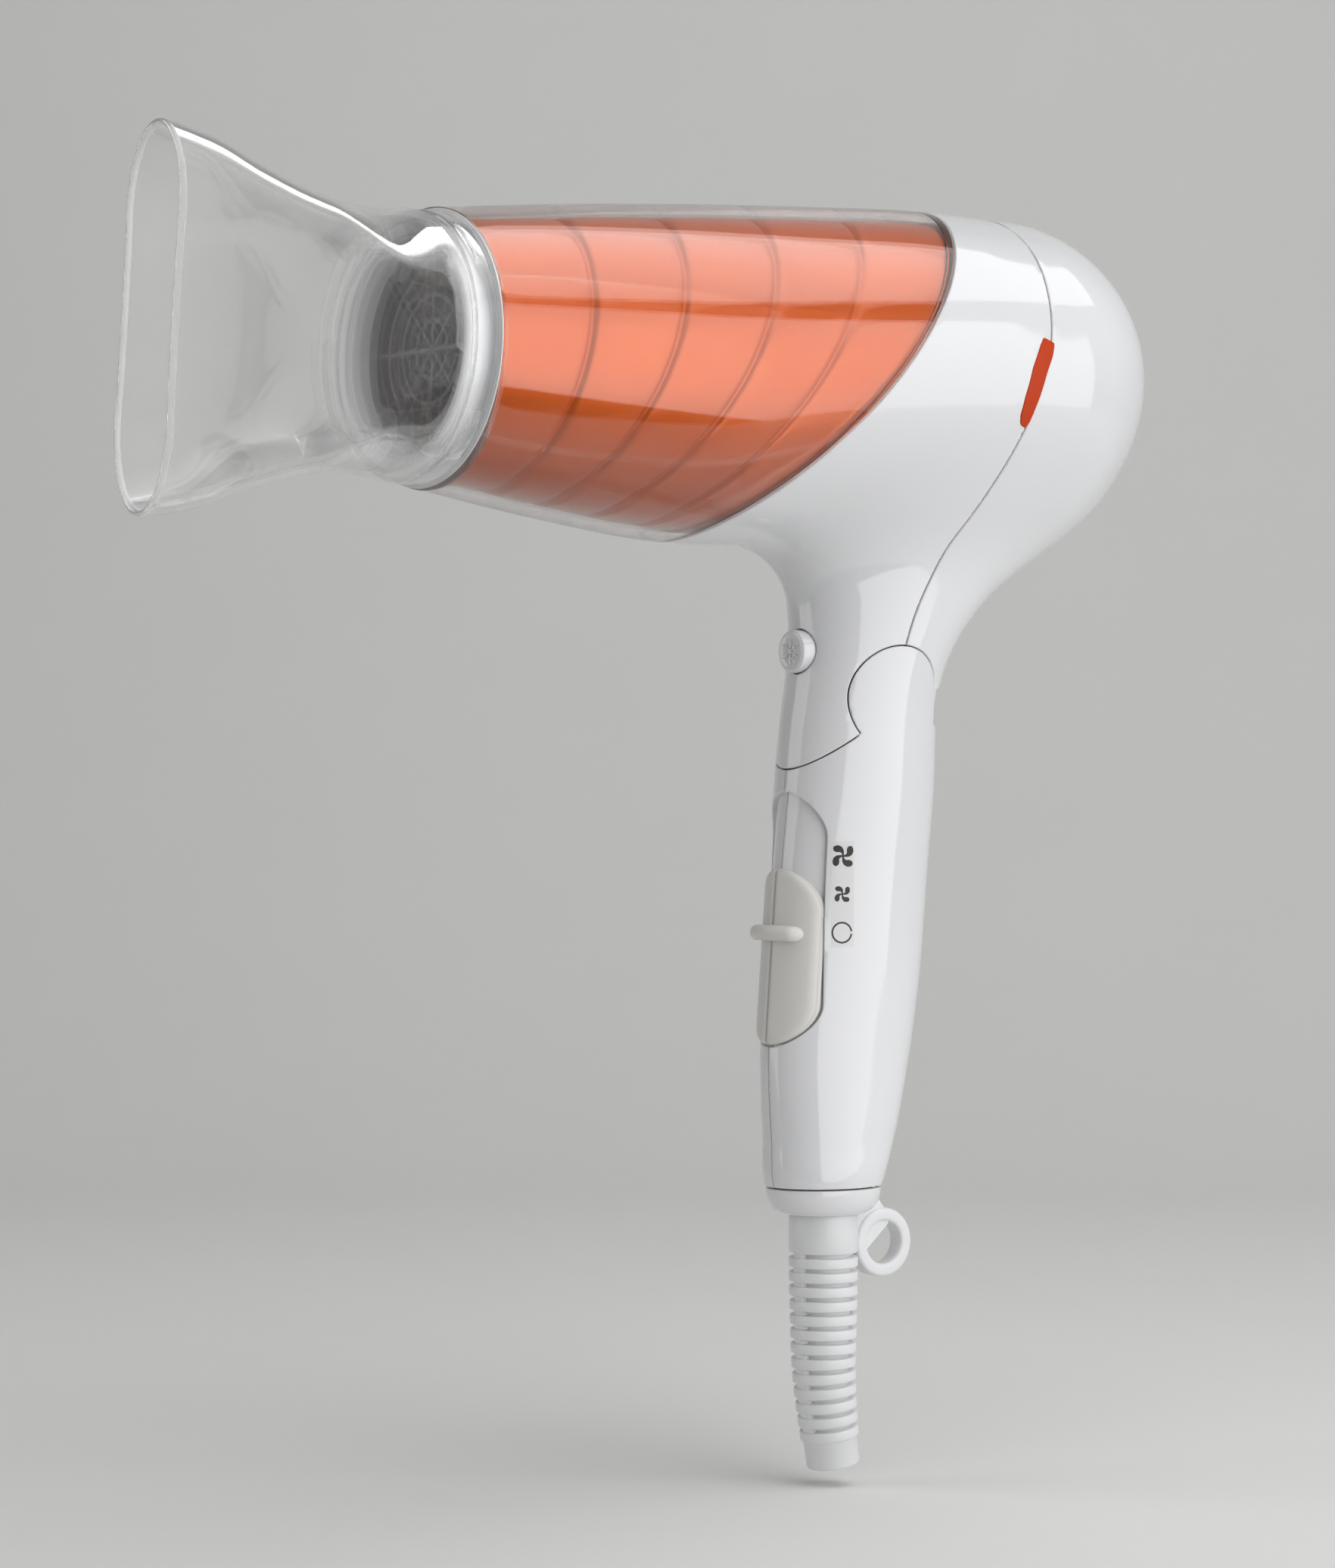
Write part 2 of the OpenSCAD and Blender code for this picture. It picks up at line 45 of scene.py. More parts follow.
# ---------------------------------------------------------------------------
# Places. Shapes are worked out in millimetres from the foot of the handle:
# X = 0 on the end cap's axis, Z = 0 at the end cap's foot.
# ---------------------------------------------------------------------------
LOOP = np.array([17.0, 0.0, -8.0])
HINGE = (11.5, 123.5)
KNUCKLE_R = 13.5
SEAM = 0.3
WALL = 2.0
CHIN_ANGLE = math.radians(215)
SKIRT_ANGLE = math.radians(12)
NOTCH_ANGLE = math.radians(12 - 30 - 2)
EDGE_ARC = (-277.7, 434.2, 358.0)
FRONT = (-112.0, 202.1)
TILT = math.radians(1.8)
SLIDE_FOOT = (-16.5, 41.0)
SLIDE_LEAN = math.radians(4.4)
SLIDER_H = 42.6
SLIDER_W = 20.8
CAP_Z = 6.6

# Sections of the head: x, centre height, radius.
HEAD = np.array([[-112, 202.1, 32.0], [-80, 201.0, 36.3], [-46, 200.3, 39.7], [-10, 201.7, 40.6],
                 [25, 203.3, 40.6], [50, 203.5, 40.0], [80, 203.5, 40.0]])
BULB_X = 50.0
BULB_R = 40.0
WIDEST_R = 40.55
# Sections of the handle and the neck: z, centre x, half depth, half width.
COLUMN = np.array([[0, 0, 9.5, 8.5], [1.5, 0, 12.6, 11], [6.6, 0, 14.9, 12.7], [18, 1.6, 17.4, 13.2],
                   [37, 3.5, 20.2, 13.6], [58, 5.6, 21.4, 14.4], [82, 7.4, 21.6, 15.2], [105, 9.6, 21.3, 16],
                   [118, 10.6, 20.8, 16], [130, 12.5, 20.8, 16.2], [140, 15.7, 23.2, 17.0],
                   [149, 19.6, 27.8, 18.2], [156, 23.0, 33.0, 19.5], [163, 26.0, 38.5, 21], [172, 30, 44, 23],
                   [185, 33, 47, 24]])
# Sections of the nozzle: x, centre height, half height, half width.
NOZZLE = np.array([[-120.4, 202.3, 31, 31], [-126, 202.5, 30.2, 30], [-136, 202.9, 30, 27],
                   [-146, 203.2, 31, 23.4], [-155, 203.5, 33.8, 20.2], [-163, 203.8, 37, 17.6],
                   [-171, 204.1, 40.3, 15.4], [-178, 204.3, 42, 13.9], [-184.6, 204.5, 43.1, 12.7]])


def along(keys, column, at):
    """A smooth curve through one column of a table of sections."""
    k = keys[np.argsort(keys[:, 0])]
    x, y = k[:, 0], k[:, column]
    slope = np.gradient(y, x)
    at = np.clip(at, x[0], x[-1])
    i = np.clip(np.searchsorted(x, at, side="right") - 1, 0, len(x) - 2)
    h = x[i + 1] - x[i]
    t = (at - x[i]) / h
    return ((2 * t**3 - 3 * t**2 + 1) * y[i] + (t**3 - 2 * t**2 + t) * h * slope[i]
            + (3 * t**2 - 2 * t**3) * y[i + 1] + (t**3 - t**2) * h * slope[i + 1])


# ---------------------------------------------------------------------------
# Meshes
# ---------------------------------------------------------------------------
def to_row(points):
    """Millimetres from the handle's foot to metres from the loop's centre."""
    return (np.asarray(points, float) - LOOP) * MM


def make(name, verts, faces, body, material, replaces=(), sharp=32):
    """A mesh piece in the row frame that rides on a body."""
    mesh = bpy.data.meshes.new(name)
    mesh.from_pydata([tuple(p) for p in to_row(verts)], [], [tuple(int(i) for i in f) for f in faces])
    mesh.validate()
    mesh.polygons.foreach_set("use_smooth", [True] * len(mesh.polygons))
    mesh.set_sharp_from_angle(angle=math.radians(sharp))
    obj = bpy.data.objects.new(name, mesh)
    bpy.context.collection.objects.link(obj)
    obj.data.materials.append(material)
    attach(obj, body)
    if replaces:
        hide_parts(*replaces)
    return obj


def surface(field, low, high, step):
    """Vertices and quads of field = 0, by surface nets, drawn onto the surface."""
    axes = [np.arange(low[i], high[i] + step, step) for i in range(3)]
    grid = np.meshgrid(*axes, indexing="ij")
    f = field(*grid)
    inside = f < 0
    n = [s - 1 for s in f.shape]
    corner = {}
    for dx in (0, 1):
        for dy in (0, 1):
            for dz in (0, 1):
                corner[dx, dy, dz] = (slice(dx, dx + n[0]), slice(dy, dy + n[1]), slice(dz, dz + n[2]))
    count = sum(inside[c].astype(int) for c in corner.values())
    mixed = (count > 0) & (count < 8)
    index = np.full(n, -1)
    index[mixed] = np.arange(mixed.sum())
    cell = np.argwhere(mixed)
    origin = np.array(low, float) + cell * step
    total = np.zeros_like(origin)
    hits = np.zeros(len(cell))
    keys = list(corner)
    for a in keys:
        for axis in range(3):
            if a[axis]:
                continue
            b = tuple(1 if i == axis else a[i] for i in range(3))
            fa, fb = f[corner[a]][mixed], f[corner[b]][mixed]
            cross = (fa < 0) != (fb < 0)
            t = np.where(cross, fa / np.where(cross, fa - fb, 1), 0)
            p = np.tile(np.array(a, float), (len(t), 1))
            p[:, axis] = t
            total += np.where(cross[:, None], p, 0)
            hits += cross
    verts = origin + step * total / hits[:, None]
    for _ in range(4):
        value = field(*verts.T)
        g = gradient(field, verts)
        verts -= (value / np.maximum((g**2).sum(1), 1e-9))[:, None] * g
    quads = []
    for axis in range(3):
        o1, o2 = [i for i in range(3) if i != axis]
        lo = inside[tuple(slice(1, -1) if i != axis else slice(0, -1) for i in range(3))]
        hi = inside[tuple(slice(1, -1) if i != axis else slice(1, None) for i in range(3))]
        edge = np.argwhere(lo != hi)
        flip = lo[tuple(edge.T)]
        base = edge.copy()
        base[:, o1] += 1
        base[:, o2] += 1
        ring = []
        for s1, s2 in ((-1, -1), (0, -1), (0, 0), (-1, 0)):
            q = base.copy()
            q[:, o1] += s1
            q[:, o2] += s2
            ring.append(index[tuple(q.T)])
        ring = np.stack(ring, 1)
        turn = flip if axis != 1 else ~flip
        ring[~turn] = ring[~turn][:, ::-1]
        quads.append(ring)
    return verts, np.concatenate(quads)


def gradient(field, p, h=0.02):
    """Gradient of a field at points."""
    g = np.empty_like(p)
    for i in range(3):
        d = np.zeros(3)
        d[i] = h
        g[:, i] = (field(*(p + d).T) - field(*(p - d).T)) / (2 * h)
    return g


def trim(verts, faces, keep):
    """Cuts faces along keep(points) = 0 and leaves the part where it is negative."""
    bm = bmesh.new()
    made = [bm.verts.new(p) for p in verts]
    for f in faces:
        bm.faces.new([made[i] for i in f])
    bm.verts.ensure_lookup_table()
    bm.verts.index_update()
    value = keep(np.array([v.co[:] for v in bm.verts]))
    value[np.abs(value) < 1e-4] = 1e-4
    value = dict(zip(bm.verts, value))
    seam = set()
    for e in [e for e in bm.edges if value[e.verts[0]] * value[e.verts[1]] < 0]:
        a, b = e.verts
        t = value[a] / (value[a] - value[b])
        _, new = bmesh.utils.edge_split(e, a, t)
        value[new] = 0.0
        seam.add(new)
    for f in {f for v in seam for f in v.link_faces}:
        on = [v for v in f.verts if v in seam]
        if len(on) == 2:
            a, b = on
            if not any(b in (e.verts[0], e.verts[1]) for e in a.link_edges if e in f.edges):
                bmesh.utils.face_split(f, a, b)
    drop = [f for f in bm.faces if max((value[v] for v in f.verts), key=abs) > 0]
    bmesh.ops.delete(bm, geom=drop, context="FACES")
    bmesh.ops.delete(bm, geom=[v for v in bm.verts if not v.link_faces], context="VERTS")
    bm.verts.index_update()
    out = np.array([v.co[:] for v in bm.verts])
    rows = [[v.index for v in f.verts] for f in bm.faces]
    bm.free()
    return out, rows


def normals_of(verts, faces):
    """Vertex normals, weighted by face area."""
    n = np.zeros_like(verts)
    for f in faces:
        p = verts[list(f)]
        c = np.cross(p[1] - p[0], p[-1] - p[0])
        if len(f) == 4:
            c = np.cross(p[2] - p[0], p[3] - p[1])
        n[list(f)] += c
    return n / np.maximum(np.linalg.norm(n, axis=1), 1e-12)[:, None]


def shell(verts, faces, thickness, normals=None, lip=0.22):
    """A closed wall of that thickness behind a surface, with a small rounded lip round its open edges."""
    n = normals_of(verts, faces) if normals is None else normals
    count = {}
    for f in faces:
        for a, b in zip(f, list(f[1:]) + [f[0]]):
            count[(a, b)] = count.get((a, b), 0) + 1
    border = [(a, b) for (a, b) in count if (b, a) not in count]
    edge_verts = sorted({a for pair in border for a in pair})
    push = {v: np.zeros(3) for v in edge_verts}
    for a, b in border:
        d = verts[b] - verts[a]
        for v in (a, b):
            side = np.cross(n[v], d)
            push[v] += side / max(np.linalg.norm(side), 1e-9)
    inner = verts - thickness * n
    lip_at = {}
    outer = verts.copy()
    extra = []
    for v in edge_verts:
        side = push[v] / max(np.linalg.norm(push[v]), 1e-9)
        lip_at[v] = 2 * len(verts) + len(extra)
        extra.append(verts[v] - lip * n[v])
        outer[v] = verts[v] + lip * side - 0.08 * lip * n[v]
    k = len(verts)
    rows = [list(f) for f in faces] + [[i + k for i in reversed(f)] for f in faces]
    for a, b in border:
        rows.append([b, a, lip_at[a], lip_at[b]])
        rows.append([lip_at[b], lip_at[a], a + k, b + k])
    points = np.concatenate([outer, inner, np.array(extra)]) if extra else np.concatenate([outer, inner])
    return points, rows


def sweep(rings, closed_ends=(False, False), loop=False):
    """Quads between rings of equal size. Each ring is closed."""
    rings = [np.asarray(r, float) for r in rings]
    m = len(rings[0])
    verts = np.concatenate(rings)
    rows = []
    total = len(rings)
    for i in range(total if loop else total - 1):
        j = (i + 1) % total
        for k in range(m):
            l = (k + 1) % m
            rows.append([i * m + k, i * m + l, j * m + l, j * m + k])
    if closed_ends[0]:
        rows.append(list(range(m))[::-1])
    if closed_ends[1]:
        rows.append([(total - 1) * m + k for k in range(m)])
    return verts, rows


def turned(profile, centre, axis, count=96):
    """A profile of (radius, height) turned round an axis through a centre. The profile is a closed loop."""
    axis = np.array(axis, float) / np.linalg.norm(axis)
    side = np.cross(axis, [0, 1, 0]) if abs(axis[1]) < 0.9 else np.cross(axis, [1, 0, 0])
    side /= np.linalg.norm(side)
    other = np.cross(axis, side)
    rings = []
    for k in range(count):
        a = 2 * math.pi * k / count
        out = math.cos(a) * side + math.sin(a) * other
        rings.append([np.array(centre) + r * out + h * axis for r, h in profile])
    return sweep(rings, loop=True)


def join(*parts):
    """Several (verts, faces) as one."""
    verts, rows, base = [], [], 0
    for v, f in parts:
        verts.append(np.asarray(v, float))
        rows += [[i + base for i in row] for row in f]
        base += len(v)
    return np.concatenate(verts), rows


def rounded(points, radius=0.4, steps=3):
    """A closed 2-D outline with its corners rounded."""
    points = [np.array(p, float) for p in points]
    out = []
    for i, p in enumerate(points):
        a, b = points[i - 1], points[(i + 1) % len(points)]
        u, v = a - p, b - p
        r = min(radius, 0.45 * np.linalg.norm(u), 0.45 * np.linalg.norm(v))
        u, v = p + u / np.linalg.norm(u) * r, p + v / np.linalg.norm(v) * r
        for s in np.linspace(0, 1, steps + 1):
            out.append((1 - s)**2 * u + 2 * s * (1 - s) * p + s**2 * v)
    return out


# ---------------------------------------------------------------------------
# Materials
# ---------------------------------------------------------------------------
class Nodes:
    """A short way to build a node tree for one material."""

    def __init__(self, name):
        self.material = bpy.data.materials.new(name)
        self.material.use_nodes = True
        self.tree = self.material.node_tree
        self.shader = self.tree.nodes["Principled BSDF"]
        self.output = self.tree.nodes["Material Output"]
        self.place = self.add("ShaderNodeTexCoord").outputs["Object"]

    def add(self, kind, **values):
        node = self.tree.nodes.new(kind)
        for key, value in values.items():
            setattr(node, key, value)
        return node

    def link(self, a, b):
        self.tree.links.new(a, b)

    def noise(self, scale, detail=3.0, roughness=0.5, stretch=None):
        node = self.add("ShaderNodeTexNoise")
        node.inputs["Scale"].default_value = scale
        node.inputs["Detail"].default_value = detail
        node.inputs["Roughness"].default_value = roughness
        place = self.place
        if stretch:
            mapping = self.add("ShaderNodeMapping")
            mapping.inputs["Scale"].default_value = stretch
            self.link(self.place, mapping.inputs["Vector"])
            place = mapping.outputs["Vector"]
        self.link(place, node.inputs["Vector"])
        return node.outputs["Fac"]

    def between(self, value, low, high, out_low, out_high):
        node = self.add("ShaderNodeMapRange")
        for key, number in zip(("From Min", "From Max", "To Min", "To Max"), (low, high, out_low, out_high)):
            node.inputs[key].default_value = number
        self.link(value, node.inputs["Value"])
        return node.outputs["Result"]

    def colours(self, value, stops):
        node = self.add("ShaderNodeValToRGB")
        ramp = node.color_ramp
        while len(ramp.elements) < len(stops):
            ramp.elements.new(0.5)
        for element, (at, colour) in zip(ramp.elements, stops):
            element.position = at
            element.color = (*colour, 1)
        self.link(value, node.inputs["Fac"])
        return node.outputs["Color"]

    def bump(self, value, strength, distance):
        node = self.add("ShaderNodeBump")
        node.inputs["Strength"].default_value = strength
        node.inputs["Distance"].default_value = distance
        self.link(value, node.inputs["Height"])
        self.link(node.outputs["Normal"], self.shader.inputs["Normal"])
        return node

    def set(self, **values):
        for key, value in values.items():
            self.shader.inputs[key.replace("_", " ")].default_value = value


def plastic(name, colour, roughness=0.2, spread=0.03, grain=900.0, grain_depth=0.02, coat=0.0, wear=0.02,
            subsurface=0.0, specular=0.5):
    """Moulded plastic: slight mottle, faint surface ripple, and uneven gloss."""
    m = Nodes(name)
    cloud = m.noise(14, 4)
    low = tuple(max(c * (1 - spread), 0) for c in colour)
    high = tuple(min(c * (1 + spread * 0.6), 1) for c in colour)
    m.link(m.colours(cloud, [(0.3, low), (0.7, high)]), m.shader.inputs["Base Color"])
    smear = m.noise(55, 5, 0.65, (1, 1, 0.35))
    m.link(m.between(smear, 0.25, 0.8, roughness - wear, roughness + 2 * wear), m.shader.inputs["Roughness"])
    m.bump(m.noise(grain, 2), grain_depth, 0.0002)
    m.set(IOR=1.5, Specular_IOR_Level=specular)
    if coat:
        m.set(Coat_Weight=coat, Coat_Roughness=0.04)
    if subsurface:
        m.set(Subsurface_Weight=subsurface, Subsurface_Scale=0.002)
        m.shader.inputs["Subsurface Radius"].default_value = (1.0, 0.9, 0.8)
    return m.material


def clear(name, tint, ior, open_share, haze, ripple=0.02, rough=0.1):
    """Thin clear moulded plastic, with flow lines, a faint haze and a soft ripple. Lamps shine through it."""
    m = Nodes(name)
    cloud = m.noise(30, 3)
    low = tuple(c * 0.985 for c in tint)
    m.link(m.colours(cloud, [(0.3, low), (0.7, tint)]), m.shader.inputs["Base Color"])
    m.set(IOR=ior, Transmission_Weight=1.0)
    lines = m.noise(160, 6, 0.7, (0.25, 1, 1))
    m.link(m.between(lines, 0.5, 0.85, rough * 0.12, rough), m.shader.inputs["Roughness"])
    m.bump(m.noise(60, 2), ripple, 0.0004)
    through = m.add("ShaderNodeBsdfTransparent")
    through.inputs["Color"].default_value = (*[c * 0.985 for c in tint], 1)
    thin = m.add("ShaderNodeMixShader")
    m.link(m.between(cloud, 0.3, 0.7, open_share - 0.03, open_share + 0.03), thin.inputs["Fac"])
    m.link(m.shader.outputs["BSDF"], thin.inputs[1])
    m.link(through.outputs["BSDF"], thin.inputs[2])
    veil = m.add("ShaderNodeBsdfDiffuse")
    veil.inputs["Color"].default_value = (0.85, 0.85, 0.86, 1)
    hazy = m.add("ShaderNodeMixShader")
    m.link(m.between(lines, 0.3, 0.8, haze * 0.85, haze * 1.2), hazy.inputs["Fac"])
    m.link(thin.outputs["Shader"], hazy.inputs[1])
    m.link(veil.outputs["BSDF"], hazy.inputs[2])
    path = m.add("ShaderNodeLightPath")
    glassy = m.add("ShaderNodeMixShader")
    m.link(path.outputs["Is Shadow Ray"], glassy.inputs["Fac"])
    m.link(hazy.outputs["Shader"], glassy.inputs[1])
    m.link(through.outputs["BSDF"], glassy.inputs[2])
    m.link(glassy.outputs["Shader"], m.output.inputs["Surface"])
    return m.material


def metallic_orange():
    """Orange lacquer with fine metal flake under a clear coat."""
    m = Nodes("orange_lacquer")
    flake = m.add("ShaderNodeTexVoronoi")
    flake.inputs["Scale"].default_value = 2600
    m.link(m.place, flake.inputs["Vector"])
    cloud = m.noise(40, 4)
    base = m.colours(cloud, [(0.25, (0.44, 0.066, 0.0004)), (0.75, (0.5, 0.082, 0.0006))])
    glint = m.colours(flake.outputs["Distance"], [(0.0, (0.66, 0.15, 0.005)), (0.35, (0.47, 0.072, 0.0006))])
    mix = m.add("ShaderNodeMix", data_type="RGBA")
    mix.inputs["Factor"].default_value = 0.35
    m.link(base, mix.inputs["A"])
    m.link(glint, mix.inputs["B"])
    m.link(mix.outputs["Result"], m.shader.inputs["Base Color"])
    m.link(m.between(m.noise(500, 3), 0.3, 0.7, 0.3, 0.42), m.shader.inputs["Roughness"])
    m.set(Metallic=0.5, Coat_Weight=0.6, Coat_Roughness=0.02, Coat_IOR=1.5, Specular_IOR_Level=0.05)
    m.bump(flake.outputs["Distance"], 0.05, 0.00005)
    return m.material


def metal(name, colour, roughness=0.3, lines=(1, 1, 1)):
    """Bare metal with drawn lines and stains."""
    m = Nodes(name)
    cloud = m.noise(90, 5)
    low = tuple(c * 0.8 for c in colour)
    m.link(m.colours(cloud, [(0.3, low), (0.7, colour)]), m.shader.inputs["Base Color"])
    m.set(Metallic=1.0)
    streak = m.noise(400, 4, 0.6, lines)
    m.link(m.between(streak, 0.3, 0.7, roughness - 0.06, roughness + 0.1), m.shader.inputs["Roughness"])
    m.bump(streak, 0.1, 0.0001)
    return m.material


def layered(name, dark, light):
    """Pressed mineral sheet in thin layers with flecks."""
    m = Nodes(name)
    fleck = m.noise(700, 6, 0.7)
    m.link(m.colours(fleck, [(0.35, dark), (0.65, light)]), m.shader.inputs["Base Color"])
    m.link(m.between(m.noise(120, 4), 0.3, 0.7, 0.35, 0.6), m.shader.inputs["Roughness"])
    m.bump(fleck, 0.15, 0.0002)
    return m.material


MAT = {
    "white": plastic("white_gloss", (0.74, 0.745, 0.76), 0.09, 0.012, 700, 0.012, coat=0.35, wear=0.015),
    "white_soft": plastic("white_flexible", (0.75, 0.755, 0.765), 0.38, 0.02, 1500, 0.08, subsurface=0.05),
    "slider": plastic("slider_grey", (0.68, 0.67, 0.64), 0.4, 0.025, 2600, 0.12),
    "tab": plastic("tab_orange", (0.52, 0.042, 0.001), 0.3, 0.05, 900, 0.03, specular=0.2),
    # Dark grey, partly the parts' own tone and partly painted shade: darkened so the outlet reads as its
    # shaded inside.
    "grey_and_painted_shade": plastic("dark_grey_and_painted_shade", (0.095, 0.085, 0.09), 0.45, 0.1, 1800, 0.1),
    "pale": plastic("pale_grey", (0.45, 0.46, 0.47), 0.4, 0.05, 1500, 0.06),
    "board": plastic("board_green", (0.02, 0.13, 0.05), 0.3, 0.15, 700, 0.05),
    "yellow": plastic("yellow_wrap", (0.6, 0.36, 0.03), 0.25, 0.06, 900, 0.04),
    "lead": plastic("lead_brown", (0.14, 0.06, 0.025), 0.4, 0.1, 1500, 0.06),
    "mark": plastic("printed_mark", (0.028, 0.022, 0.02), 0.5, 0.2, 2500, 0.05),
    "clear": clear("clear_nozzle", (0.975, 0.975, 0.972), 1.24, 0.5, 0.035),
    "rim": clear("clear_rim", (0.98, 0.98, 0.977), 1.12, 0.4, 0.22, 0.001, 0.02),
    "cover": clear("clear_cover", (0.99, 0.985, 0.98), 1.46, 0.1, 0.003, 0.006, 0.025),
    "film": plastic("clear_label", (0.70, 0.70, 0.705), 0.2, 0.03, 900, 0.05),
    "orange": metallic_orange(),
    "steel": metal("steel", (0.62, 0.62, 0.63), 0.28, (1, 1, 0.1)),
    "brass": metal("brass", (0.72, 0.52, 0.2), 0.3),
    "wire": metal("oxidised_wire", (0.32, 0.29, 0.26), 0.45),
    "mica": layered("mica", (0.30, 0.22, 0.12), (0.62, 0.5, 0.32)),
}

CAD_FINISH = {
    "steel": ["motor", "motor_shaft", "hinge_pin", "handle_screws", "button_spring", "filter_mesh",
              "thermal_fuse"],
    "brass": ["thermostat", "hinge_washers"],
    "wire": ["heater_coils"],
    "mica": ["heater_tube", "heater_boards"],
    "grey_and_painted_shade": ["impeller", "button_switch", "slide_plate", "switch_block"],
    "white": ["inlet_grille"],
    "pale": ["fan_housing", "fold_tongue", "cord_clamp"],
    "board": ["circuit_board"],
    "yellow": ["suppressor"],
    "lead": ["supply_leads"],
}
for finish, names in CAD_FINISH.items():
    for name in names:
        for material_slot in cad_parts[name].material_slots:
            material_slot.material = MAT[finish]


# ---------------------------------------------------------------------------
# White shells
# ---------------------------------------------------------------------------
def smooth_min(a, b, k):
    h = np.clip(0.5 + 0.5 * (b - a) / k, 0, 1)
    return b + (a - b) * h - k * h * (1 - h)


def head_field(x, y, z):
    """Distance outside the head: a swelling barrel with a round back."""
    past = np.maximum(x - BULB_X, 0)
    reach = np.sqrt(past**2 + y**2 + (z - along(HEAD, 1, x))**2)
    return reach - np.where(x > BULB_X, BULB_R, np.minimum(along(HEAD, 2, x), WIDEST_R))


def column_field(x, y, z):
    """Distance outside the handle and neck, whose sections are ellipses."""
    a, b = along(COLUMN, 2, z), along(COLUMN, 3, z)
    u, v = (x - along(COLUMN, 1, z)) / a, y / b
    k = np.sqrt(u**2 + v**2) + 1e-9
    g = np.sqrt((u / a)**2 + (v / b)**2) + 1e-9
    return np.maximum(k * (k - 1) / g, z - 190)


def body_field(x, y, z):
    """Head and column flowed together."""
    return smooth_min(head_field(x, y, z), column_field(x, y, z), 15.0)


def edge_side(p, gap):
    """Negative in front of the slanted edge of the barrel."""
    return np.hypot(p[:, 0] - EDGE_ARC[0], p[:, 2] - EDGE_ARC[1]) - EDGE_ARC[2] - gap


# The rear cover's seam in side view: z, x.
COVER_SEAM = np.array([[90, 12.2], [136.4, 12.2], [146, 15.1], [153.5, 18.3], [160.9, 21.2], [167.4, 24.4],
                       [175.5, 27.5], [188.8, 32], [210.4, 38.5], [221.3, 40.6], [229.4, 42.1],
                       [238, 43.4], [260, 44]])


def cover_side(p):
    """Positive behind the seam of the rear cover."""
    return (p[:, 0] - along(COVER_SEAM, 1, p[:, 2])) * 0.85


def ray_side(p, angle, back):
    """Signed distance above a radial line from the hinge."""
    dx, dz = p[:, 0] - HINGE[0], p[:, 2] - HINGE[1]
    rise = dz * math.cos(angle) - dx * math.sin(angle)
    return rise if back else -rise


def above_fold(p, back_angle, gap):
    front = ray_side(p, CHIN_ANGLE, False)
    rear = ray_side(p, back_angle, True)
    return np.where(p[:, 0] < HINGE[0], front, rear) - gap


def outside_knuckle(p, gap):
    return np.hypot(p[:, 0] - HINGE[0], p[:, 2] - HINGE[1]) - KNUCKLE_R - gap


def segment_distance(x, z, a, b):
    """Distance from points to the line between a and b."""
    d = np.subtract(b, a)
    t = np.clip(((x - a[0]) * d[0] + (z - a[1]) * d[1]) / (d @ d), 0, 1)
    return np.hypot(x - a[0] - t * d[0], z - a[1] - t * d[1])


# The tab's outline is a row of round blobs: x, z, radius.
TAB = ((36.3, 207.2, 2.3), (34, 202.3, 2.3), (32, 195.3, 2.2), (31.1, 190.4, 1.5))


def tab_side(p, grow):
    """Negative inside the outline of the tab, whose back edge lies along the seam."""
    best = segment_distance(p[:, 0], p[:, 2], (35.2, 208.4), (37.7, 208.9)) - 1.0
    for (x0, z0, r0), (x1, z1, r1) in zip(TAB, TAB[1:]):
        for t in np.linspace(0, 1, 9):
            near = np.hypot(p[:, 0] - x0 - t * (x1 - x0), p[:, 2] - z0 - t * (z1 - z0)) - r0 - t * (r1 - r0)
            best = np.minimum(best, near)
    return best - grow


BUTTON = (-6.5, 135.6)
BUTTON_R = 5.2


def button_side(p, grow):
    """Negative inside the button's hole at the front of the neck."""
    return np.maximum(np.hypot(p[:, 1], p[:, 2] - BUTTON[1]) - BUTTON_R - grow, p[:, 0] - BUTTON[0] - 6)


def slide_local(p):
    """Points in the slider's frame: out of the handle, across, and up its front line."""
    dx, dz = p[:, 0] - SLIDE_FOOT[0], p[:, 2] - SLIDE_FOOT[1]
    c, s = math.cos(SLIDE_LEAN), math.sin(SLIDE_LEAN)
    return dx * c - dz * s, p[:, 1], dx * s + dz * c


def from_slide(x, y, z):
    c, s = math.cos(SLIDE_LEAN), math.sin(SLIDE_LEAN)
    return np.stack([SLIDE_FOOT[0] + x * c + z * s, y, SLIDE_FOOT[1] - x * s + z * c], -1)


def stadium(y, z, width, low, high):
    r = width / 2
    return np.hypot(y, z - np.clip(z, low + r, high - r)) - r


RECESS = (21.8, -0.4, 61.0)


def recess_side(p, grow=0.0):
    """Negative inside the slider's recess."""
    x, y, z = slide_local(p)
    return np.maximum(stadium(y, z, RECESS[0] + 2 * grow, RECESS[1] - grow, RECESS[2] + grow), x - 14)


def body_normals(verts):
    n = gradient(body_field, verts)
    return n / np.linalg.norm(n, axis=1)[:, None]


GRID = 1.3
white_v, white_f = surface(body_field, (-62, -44, 3.5), (94, 44, 247), GRID)


def cut_body(cuts):
    verts, faces = white_v, white_f
    for cut in cuts:
        verts, faces = trim(verts, faces, cut)
    return verts, faces


def white_piece(name, body, cuts, replaces):
    """A white wall that keeps the part of the body where every cut is negative."""
    verts, faces = cut_body(cuts)
    verts, faces = shell(verts, faces, WALL, body_normals(verts))
    return make(name, verts, faces, body, MAT["white"], replaces)


